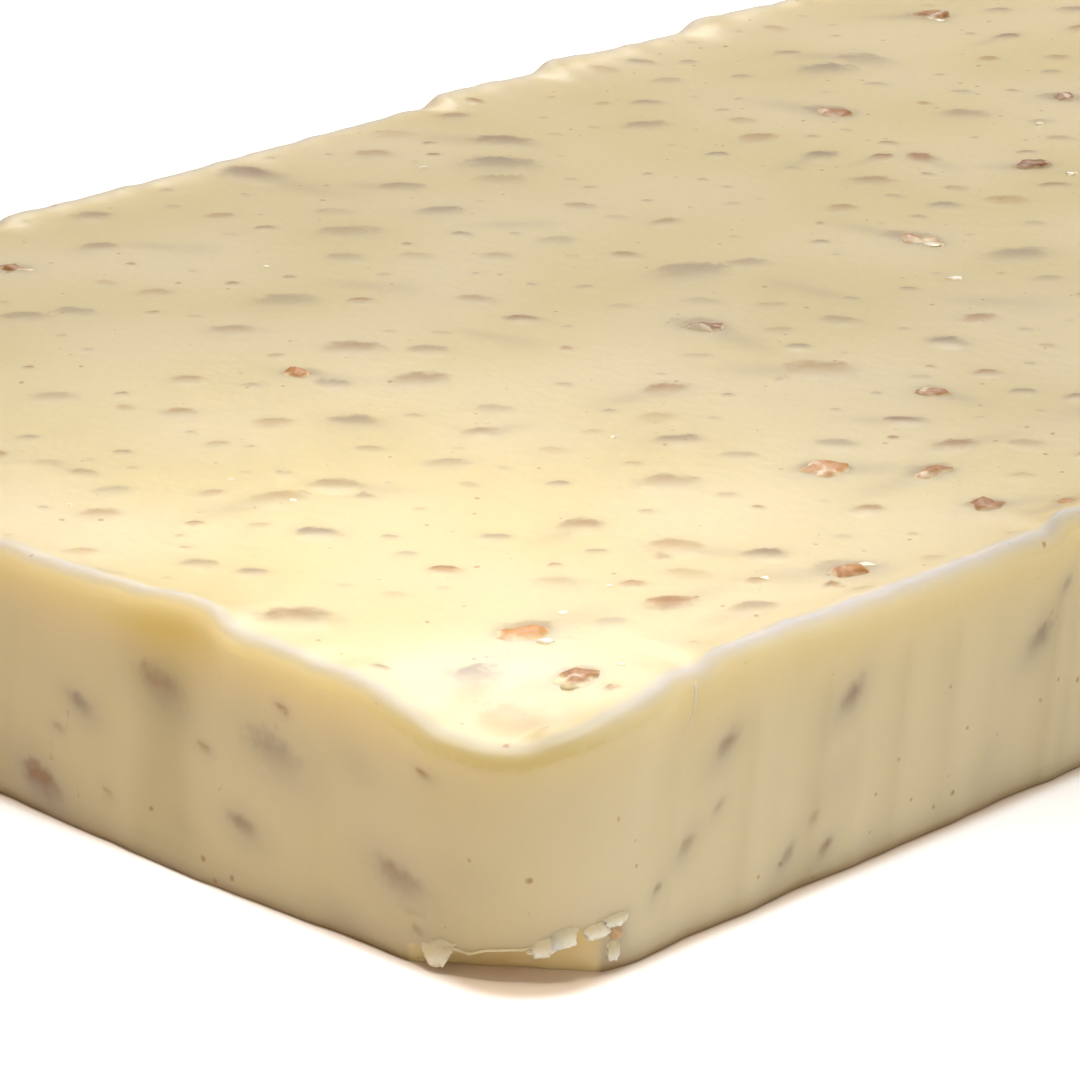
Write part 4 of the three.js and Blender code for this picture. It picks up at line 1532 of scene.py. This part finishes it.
def extrude_walls(shape, form):
    """Draws the top's edge down the walls in rings, in under the tear, and closes the base."""
    along_layer = shape.verts.layers.float["along"]
    depth_layer = shape.verts.layers.float["depth"]
    torn_layer = shape.verts.layers.float.new("torn")
    edges = [edge for edge in shape.edges if edge.is_boundary]
    rings = [("wall", 1 - (step / WALL_RINGS) ** RING_CROWDING) for step in range(1, WALL_RINGS + 1)]
    rings += [("foot", (1 - step / FOOT_RINGS) ** FOOT_CROWDING) for step in range(FOOT_RINGS + 1)]
    for kind, share in rings:
        extruded = bmesh.ops.extrude_edge_only(shape, edges=edges)["geom"]
        verts = [item for item in extruded if isinstance(item, bmesh.types.BMVert)]
        edges = [item for item in extruded if isinstance(item, bmesh.types.BMEdge) and item.is_boundary]
        along = np.array([vert[along_layer] for vert in verts])
        tear_edge, tear_depth = form.tear(along)
        wall_top = form.crest(along) - form.sizes.rim_round
        if kind == "wall":
            height = tear_edge + (wall_top - tear_edge) * share
            deeper = np.zeros_like(along)
        else:
            height = (tear_edge - TEAR_GAP) * share
            waves = [np.sin(along / (length * MM) + turn * share) for length, turn in TEAR_LUMPS]
            deeper = tear_depth + TEAR_ROUGH * np.prod(waves, axis=0) * smooth_step(tear_depth, 0, TEAR_BLEND)
        x, y = form.wall_point(along, height, deeper)
        torn = smooth_step(tear_depth, TORN_START, TORN_FULL) * (kind == "foot")
        below = np.minimum(height - wall_top, -LEAST_BELOW)
        for vert, place in zip(verts, np.column_stack([x, y, height, torn, below])):
            vert.co = place[:3]
            vert[depth_layer] = place[4]
            vert[torn_layer] = place[3]
    bmesh.ops.contextual_create(shape, geom=edges)
    bmesh.ops.recalc_face_normals(shape, faces=shape.faces)


# A distance that no nut reaches, and the angle from which the slab's edges are sharp
FAR_AWAY = 9.0
SLAB_SHARP = math.radians(50)


class FUDGE_OT_pour_slab(bpy.types.Operator):
    """Pour the slab: its top, rim, walls and torn corner, with the nuts that press against its surface"""

    bl_idname = "fudge.pour_slab"
    bl_label = "Pour slab"

    def execute(self, context):
        sizes = context.scene.fudge_sizes
        form = SlabForm(sizes)
        shape = top_shape(form)
        extrude_walls(shape, form)
        slab = add_piece(shape, "slab", [fudge_material(context.scene.fudge_colours)])
        mesh = slab.data
        count = len(mesh.vertices)
        points = np.empty(count * 3)
        mesh.vertices.foreach_get("co", points)
        points = points.reshape(count, 3)
        along = recall(mesh, "along")
        depth = recall(mesh, "depth")
        edge = Edge(form, along, depth, points[:, 2].copy())
        surface = Surface(count)
        top_x = np.where(edge.on_top, points[:, 0], FAR_AWAY)
        wall_height = np.where(edge.on_top, FAR_AWAY, points[:, 2])
        press_top_nuts(surface, top_x, points[:, 1], sizes)
        press_wall_nuts(surface, along, wall_height, form)
        points[:, 2] += surface.rise * smooth_step(depth, 0, LIFT_FULL)
        mesh.vertices.foreach_set("co", points.ravel())
        nut_place = mesh.attributes.new("nut_place", "FLOAT_VECTOR", "POINT")
        nut_place.data.foreach_set("vector", surface.place.astype(np.float32).ravel())
        looks = {
            "nut_tone": surface.tone,
            "nut_shows": surface.clear_shows() * edge.lets_nuts_show(),
            "nut_halo": surface.halo * edge.lets_nuts_show(),
            "painted_edge_glow": edge.gold(),
            "painted_deep_glow": edge.painted_deep_glow(),
            "painted_rim_reflection": edge.pale(),
            "flute": edge.shade(),
            "on_wall": np.where(edge.on_top, 0, 1),
            "painted_base_shade": edge.painted_base_shade(recall(mesh, "torn")),
        }
        for name, values in looks.items():
            store(mesh, name, values)
        for name in ("along", "depth"):
            mesh.attributes.remove(mesh.attributes[name])
        mesh.shade_smooth()
        mesh.set_sharp_from_angle(angle=SLAB_SHARP)
        mesh.update()
        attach(slab, ROOT_BODY)
        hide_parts(SLAB_NODE)
        return {"FINISHED"}


# A bare kernel: its lumps, as how high and how fine, what makes them differ from nut to nut, how steep its
# cut face is and how far out, as the least and a spread, and the angle from which its edges are sharp
KERNEL_LUMPS = [(0.32, 1.6), (0.07, 5)]
KERNEL_VARIETY = 900
CUT_RISE = (0.1, 0.5)
CUT_PLACE = (0.55, 0.3)
KERNEL_SHARP = math.radians(60)

# The nut at the torn corner, in millimetres: place along the tear, height and length. Then how much of its
# length it is sunk, how high and how fine its lumps are, its skin tone and the fudge that clings to it
TORN_NUT = (22.3, 4.6, 2)
TORN_NUT_SUNK = 0.1
TORN_NUT_LUMPS = 0.5
TORN_NUT_FINE = 900
TORN_NUT_TONE = 0.6
TORN_NUT_FILM = 0.4

# Bits of nut flesh set where the top shows small glints: partly real flesh, partly painted highlights. X, Y
# and length in millimetres. Then their width and height as shares of that, how high and how fine their lumps
# are, and the share up to which fudge clings to them
FLESH_BITS = [
    (85, 86, 1.8), (110, 66, 1.6), (77, 19.5, 1.6), (61, 0.6, 1.8), (14, -18, 2), (23, -6.5, 2),
    (1, 67, 1.3), (-63, -29.6, 1), (-117, -70.5, 2), (-109.6, -66, 1.2), (-100, -64, 1),
    (-75, -80, 2), (-86.4, -75, 1), (-105.5, -8, 0.8), (-124, -0.4, 0.8),
    (-105.6, -18.6, 1.2), (-98.8, -19.3, 1), (-116, -81, 0.9), (-45, 50, 0.9),
]
BIT_WIDTH = 0.8
BIT_HEIGHT = 0.25
BIT_LUMPS = 0.5
BIT_FINE = 3
BIT_FILM = 0.15


def nut_shape(nut, form, looks):
    """One chopped nut as a lumpy kernel, some with a cut face, placed half sunk in the top."""
    shape = bmesh.new()
    bmesh.ops.create_icosphere(shape, subdivisions=3, radius=1.0)
    shift = Vector((nut.x, nut.y, nut.length)) * KERNEL_VARIETY
    for vert in shape.verts:
        vert.co *= 1 + sum(high * noise.noise(vert.co * fine + shift) for high, fine in KERNEL_LUMPS)
    if next(looks) < CUT_SHARE:
        turn = SPREAD_HEADING + math.pi - nut.heading + CUT_SPREAD * (next(looks) - 0.5)
        rise = pick(CUT_RISE, looks)
        normal = Vector((math.cos(turn), math.sin(turn), rise)).normalized()
        cut = bmesh.ops.bisect_plane(
            shape, geom=[*shape.verts, *shape.edges, *shape.faces],
            plane_co=normal * pick(CUT_PLACE, looks), plane_no=normal, clear_outer=True,
        )["geom_cut"]
        rim = [item for item in cut if isinstance(item, bmesh.types.BMEdge)]
        if rim:
            for face in bmesh.ops.contextual_create(shape, geom=rim)["faces"]:
                face.material_index = 1
    size = Vector((nut.length, nut.width, nut.height)) * KERNEL_SHARE / 2
    turn = Euler((nut.tilt_x, nut.tilt_y, nut.heading), "XYZ").to_matrix().to_4x4()
    top = float(form.top(np.array([nut.x]), np.array([nut.y]))[0])
    place = Matrix.Translation((nut.x, nut.y, top + KERNEL_STANDS * nut.stands))
    bmesh.ops.transform(shape, matrix=place @ turn @ Matrix.Diagonal((*size, 1)), verts=shape.verts)
    highest = max(vert.co.z for vert in shape.verts)
    bmesh.ops.translate(shape, vec=(0, 0, place.translation.z - highest), verts=shape.verts)
    tone_layer = shape.verts.layers.float.new("skin_tone")
    film_layer = shape.verts.layers.float.new("film")
    for vert in shape.verts:
        above = (vert.co.z - top) / MM
        vert[tone_layer] = nut.tone
        vert[film_layer] = 1 - float(smooth_step(above, FILM_LOW, FILM_HIGH))
    return shape


def torn_nut_shape(form):
    """The bit of nut that the tear laid bare."""
    place, height, length = TORN_NUT
    station = form.tear_station(place * MM)
    x, y = form.wall_point(station, np.array([height * MM]), TORN_NUT_SUNK * length * MM)
    shape = bmesh.new()
    bmesh.ops.create_icosphere(shape, subdivisions=3, radius=length / 2 * MM)
    for vert in shape.verts:
        vert.co *= 1 + TORN_NUT_LUMPS * noise.noise(vert.co * TORN_NUT_FINE)
        vert.co += Vector((x[0], y[0], height * MM))
    tone_layer = shape.verts.layers.float.new("skin_tone")
    film_layer = shape.verts.layers.float.new("film")
    for vert in shape.verts:
        vert[tone_layer] = TORN_NUT_TONE
        vert[film_layer] = TORN_NUT_FILM
    return shape


def flesh_bit_shape(form, x, y, length):
    """One small bit of bare nut flesh, half sunk in the top, that also stands in for a small highlight."""
    shape = bmesh.new()
    bmesh.ops.create_icosphere(shape, subdivisions=3, radius=0.5)
    for vert in shape.verts:
        vert.co *= 1 + BIT_LUMPS * noise.noise(vert.co * BIT_FINE + Vector((x, y, 0)))
    top = float(form.top(np.array([x * MM]), np.array([y * MM]))[0])
    place = Matrix.Translation((x * MM, y * MM, top)) @ Matrix.Rotation(NUT_HEADING, 4, "Z")
    size = Vector((length, BIT_WIDTH * length, BIT_HEIGHT * length)) * MM
    bmesh.ops.transform(shape, matrix=place @ Matrix.Diagonal((*size, 1)), verts=shape.verts)
    shape.verts.layers.float.new("skin_tone")
    film_layer = shape.verts.layers.float.new("film")
    for vert in shape.verts:
        vert[film_layer] = 1 - float(smooth_step(vert.co.z - top, 0, BIT_FILM * length * MM))
    for face in shape.faces:
        face.material_index = 1
    return shape


class FUDGE_OT_press_nuts(bpy.types.Operator):
    """Press the chopped nuts and bits that lie bare into the top, and one nut into the torn corner"""

    bl_idname = "fudge.press_nuts"
    bl_label = "Press nuts"

    def execute(self, context):
        form = SlabForm(context.scene.fudge_sizes)
        colours = context.scene.fudge_colours
        looks = draws_from(TONE_SEED)
        shapes = [nut_shape(nut, form, looks) for nut in nuts_in_top(context.scene.fudge_sizes) if nut.bare]
        shapes.append(torn_nut_shape(form))
        shapes += [flesh_bit_shape(form, *row) for row in FLESH_BITS]
        materials = [nut_skin_material(colours), nut_flesh_material(colours)]
        nuts = add_piece(join_shapes(shapes, ("skin_tone", "film")), "bare_nuts", materials)
        nuts.data.shade_smooth()
        nuts.data.set_sharp_from_angle(angle=KERNEL_SHARP)
        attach(nuts, ROOT_BODY)
        return {"FINISHED"}


# Flakes at the tear, in millimetres: place along its edge, width, height above and drop below it, curl, and
# the share of its width that it keeps at its lower end
FLAKES = [
    (3.6, 3.9, 0.7, 2.3, 0.2, 0.35), (9.2, 9.6, 0.05, 0.12, 0.0, 1), (15.6, 4.8, 0.5, 1.2, 0.5, 0.6),
    (17.2, 3, 0.8, 1.1, 0.6, 0.7), (20.6, 2.8, 0.4, 1.1, 0.4, 0.8), (22.4, 2.6, 0.6, 0.5, 0.3, 0.7),
    (22.1, 1.3, -2.4, 4.4, 0.2, 0.8),
]

# Their thickness, the radius of the ball that they are rounded towards and by how much, how high and how fine
# their lumps and crumbs are, how near they hang to the floor and how deep their upper end sinks into the wall
FLAKE_THICKNESS = 0.7 * MM
FLAKE_BALL = 0.6
FLAKE_ROUND = 0.45
FLAKE_LUMPS = 0.3
FLAKE_LUMPS_FINE = 5
FLAKE_CRUMBS = 0.12
FLAKE_CRUMBS_FINE = 14
FLAKE_LOWEST = 0.3 * MM
FLAKE_SINKS = 0.35 * MM

# The cuts in each side of their mesh, the angle from which their edges are sharp, and the shares of their
# height between which the crust gives way to the wall's colour
FLAKE_CUTS = 9
FLAKE_SHARP = math.radians(40)
CRUST_FULL = 0.1
CRUST_END = 0.75

# Burrs where the liner's folds met: wall, then place and height at the top, place and height below and radius
# in millimetres. Then their sides and steps, how thin their lower end is, how far in millimetres and how
# often they wander, and the crust at their lower end
SEAMS = [("front", -112.4, 29.9, -115, 22.5, 0.14)]
SEAM_SIDES = 8
SEAM_STEPS = 16
SEAM_TAPER = 0.25
SEAM_WANDER = 0.35
SEAM_BENDS = 6
SEAM_CRUST = 0.2


def flake_shape(form, place, width, rise, drop, curl, kept):
    """One flake of crust that grows out of the wall and hangs over the tear."""
    shape = bmesh.new()
    bmesh.ops.create_cube(shape, size=1.0)
    bmesh.ops.subdivide_edges(shape, edges=shape.edges, cuts=FLAKE_CUTS, use_grid_fill=True)
    crust_layer = shape.verts.layers.float.new("crust")
    for vert in shape.verts:
        lumps = noise.noise(vert.co * FLAKE_LUMPS_FINE + Vector((0, 0, place)))
        crumbs = noise.noise(vert.co * FLAKE_CRUMBS_FINE + Vector((0, 0, place)))
        rounded = vert.co.lerp(vert.co.normalized() * FLAKE_BALL, FLAKE_ROUND)
        vert.co = rounded * (1 + FLAKE_LUMPS * lumps + FLAKE_CRUMBS * crumbs)
        across = vert.co.x
        up = vert.co.y + 0.5
        spot = place + across * width * (kept + (1 - kept) * up)
        station = form.tear_station(spot * MM)
        edge, _ = form.tear(station)
        height = np.maximum(edge + (rise * up - drop * (1 - up)) * MM, FLAKE_LOWEST)
        stands = curl * (1 - up) ** 2 * MM + FLAKE_THICKNESS * vert.co.z - FLAKE_SINKS * max(up, 0) ** 2
        x, y = form.wall_point(station, height, -stands)
        vert.co = (x[0], y[0], height[0])
        vert[crust_layer] = min(rise + drop, 1) * (1 - float(smooth_step(up, CRUST_FULL, CRUST_END)))
    bmesh.ops.recalc_face_normals(shape, faces=shape.faces)
    return shape


def seam_shape(form, wall, top_place, top_height, low_place, low_height, radius):
    """One thin burr that runs from the rim down a wall."""
    shape = bmesh.new()
    bmesh.ops.create_cone(
        shape, segments=SEAM_SIDES, radius1=SEAM_TAPER, radius2=1.0, depth=1.0, cap_ends=True
    )
    upright = [edge for edge in shape.edges if abs(edge.verts[0].co.z - edge.verts[1].co.z) > 0.5]
    bmesh.ops.subdivide_edges(shape, edges=upright, cuts=SEAM_STEPS)
    crust_layer = shape.verts.layers.float.new("crust")
    rim_round = form.sizes.rim_round
    for vert in shape.verts:
        share = vert.co.z + 0.5
        wander = SEAM_WANDER * noise.noise(Vector((share * SEAM_BENDS, top_place, 0)))
        spot = (low_place + (top_place - low_place) * share + wander) * MM
        height = np.array([(low_height + (top_height - low_height) * share) * MM])
        station = np.mod(np.array([form.along_wall(wall, spot) + vert.co.x * radius * MM]), form.perimeter)
        over = np.clip(height - form.crest(station) + rim_round, 0, rim_round)
        curve = rim_round - np.sqrt(rim_round ** 2 - over ** 2)
        x, y = form.wall_point(station, height, curve - vert.co.y * radius * MM)
        vert.co = (x[0], y[0], height[0])
        vert[crust_layer] = SEAM_CRUST + (1 - SEAM_CRUST) * share
    bmesh.ops.recalc_face_normals(shape, faces=shape.faces)
    return shape


class FUDGE_OT_tear_flakes(bpy.types.Operator):
    """Hang the flakes at the torn corner and draw the burrs down the walls"""

    bl_idname = "fudge.tear_flakes"
    bl_label = "Tear flakes"

    def execute(self, context):
        form = SlabForm(context.scene.fudge_sizes)
        shapes = [flake_shape(form, *row) for row in FLAKES]
        shapes += [seam_shape(form, *row) for row in SEAMS]
        material = flake_material(context.scene.fudge_colours)
        flakes = add_piece(join_shapes(shapes, ("crust",)), "torn_flakes", [material])
        flakes.data.shade_smooth()
        flakes.data.set_sharp_from_angle(angle=FLAKE_SHARP)
        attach(flakes, ROOT_BODY)
        return {"FINISHED"}


# Stage

# Places are from the middle of the slab's base, and sizes are in metres. The floor lies a hair below the base
FLOOR_SIZE = 6.0
FLOOR_DROP = 0.05 * MM
SENSOR_WIDTH = 36
CAMERA_PLACE = Vector((-535.7, -474.6, 257.0)) * MM
BACK_LIGHT_PLACE = Vector((500, 500, 900)) * MM
BACK_LIGHT_SIZE = 0.7
NEAR_LIGHT_PLACE = Vector((-124, -53, 350)) * MM
NEAR_LIGHT_SIZE = 0.12
NEAR_LIGHT_SPREAD = math.radians(25)
FRONT_LIGHT_PLACE = Vector((0, -900, 350)) * MM
FRONT_LIGHT_SIZE = 0.6


def add_softbox(scene, name, place, aim, size, power, spread=math.pi):
    """A square softbox aimed at the slab, itself out of sight."""
    light = bpy.data.lights.new(name, "AREA")
    light.energy = power
    light.size = size
    light.spread = spread
    softbox = bpy.data.objects.new(name, light)
    softbox.location = place
    softbox.rotation_euler = (aim - place).to_track_quat("-Z", "Y").to_euler()
    softbox.visible_camera = False
    scene.collection.objects.link(softbox)


def set_sky(scene, stage):
    """Even white light all round, a little warmer from the left and cooler from the front."""
    world = bpy.data.worlds.new("white_room")
    world.use_nodes = True
    tree = world.node_tree
    direction = add_node(tree, "ShaderNodeTexCoord", {}, {}).outputs["Generated"]
    axes = add_node(tree, "ShaderNodeSeparateXYZ", {}, {"Vector": direction})
    across = add_node(
        tree, "ShaderNodeMath", {"operation": "SUBTRACT"}, {0: axes.outputs["X"], 1: axes.outputs["Y"]}
    )
    share = add_node(
        tree, "ShaderNodeMapRange", {"From Min": -1.0, "From Max": 1.0}, {"Value": across.outputs[0]}
    )
    colour = add_node(
        tree, "ShaderNodeMix", {"data_type": "RGBA", 6: (*stage.sky_left, 1), 7: (*stage.sky_front, 1)},
        {0: share.outputs["Result"]},
    )
    background = tree.nodes["Background"]
    background.inputs["Strength"].default_value = stage.sky
    tree.links.new(colour.outputs[2], background.inputs["Color"])
    scene.world = world


class FUDGE_OT_set_stage(bpy.types.Operator):
    """Set the floor, the light and the camera"""

    bl_idname = "fudge.set_stage"
    bl_label = "Set stage"

    def execute(self, context):
        scene = context.scene
        stage = scene.stage_settings
        shape = bmesh.new()
        bmesh.ops.create_grid(shape, x_segments=1, y_segments=1, size=FLOOR_SIZE / 2)
        bmesh.ops.translate(shape, verts=shape.verts, vec=(0, 0, -FLOOR_DROP))
        floor = add_piece(shape, "floor", [floor_material(stage, scene.fudge_sizes)])
        set_sky(scene, stage)
        middle = Vector((0, 0, 0))
        below = Vector((NEAR_LIGHT_PLACE.x, NEAR_LIGHT_PLACE.y, 0))
        front = Vector((0, -scene.fudge_sizes.width / 2, 0))
        add_softbox(scene, "back_softbox", BACK_LIGHT_PLACE, middle, BACK_LIGHT_SIZE, stage.back_power)
        add_softbox(scene, "front_softbox", FRONT_LIGHT_PLACE, front, FRONT_LIGHT_SIZE, stage.front_power)
        add_softbox(
            scene, "near_softbox", NEAR_LIGHT_PLACE, below, NEAR_LIGHT_SIZE, stage.near_power,
            NEAR_LIGHT_SPREAD,
        )

        camera = bpy.data.objects.new("camera", bpy.data.cameras.new("camera"))
        camera.data.lens = stage.lens
        camera.data.sensor_width = SENSOR_WIDTH
        camera.location = CAMERA_PLACE
        camera.rotation_euler = (math.pi / 2 - stage.pitch, 0, stage.heading - math.pi / 2)
        scene.collection.objects.link(camera)
        scene.camera = camera
        scene.view_settings.view_transform = "Standard"
        return {"FINISHED"}


class FUDGE_PT_panel(bpy.types.Panel):
    """Lists the steps that make the slab"""

    bl_idname = "FUDGE_PT_panel"
    bl_label = "Nut fudge slab"
    bl_space_type = "VIEW_3D"
    bl_region_type = "UI"
    bl_category = "Fudge"

    def draw(self, context):
        scene = context.scene
        for settings in (scene.fudge_sizes, scene.fudge_colours, scene.stage_settings):
            box = self.layout.box()
            for name in settings.__annotations__:
                box.prop(settings, name)
        for step in STEPS:
            self.layout.operator(step.bl_idname)


STEPS = (FUDGE_OT_pour_slab, FUDGE_OT_press_nuts, FUDGE_OT_tear_flakes, FUDGE_OT_set_stage)
CLASSES = (FudgeSizes, FudgeColours, StageSettings, *STEPS, FUDGE_PT_panel)


def register():
    """Makes the settings, steps and panel known to Blender."""
    for item in CLASSES:
        bpy.utils.register_class(item)
    bpy.types.Scene.fudge_sizes = PointerProperty(type=FudgeSizes)
    bpy.types.Scene.fudge_colours = PointerProperty(type=FudgeColours)
    bpy.types.Scene.stage_settings = PointerProperty(type=StageSettings)


def unregister():
    """Takes them out again."""
    del bpy.types.Scene.stage_settings
    del bpy.types.Scene.fudge_colours
    del bpy.types.Scene.fudge_sizes
    for item in reversed(CLASSES):
        bpy.utils.unregister_class(item)


def main():
    """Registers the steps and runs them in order."""
    register()
    bpy.ops.fudge.pour_slab()
    bpy.ops.fudge.press_nuts()
    bpy.ops.fudge.tear_flakes()
    bpy.ops.fudge.set_stage()


if __name__ == "__main__":
    main()
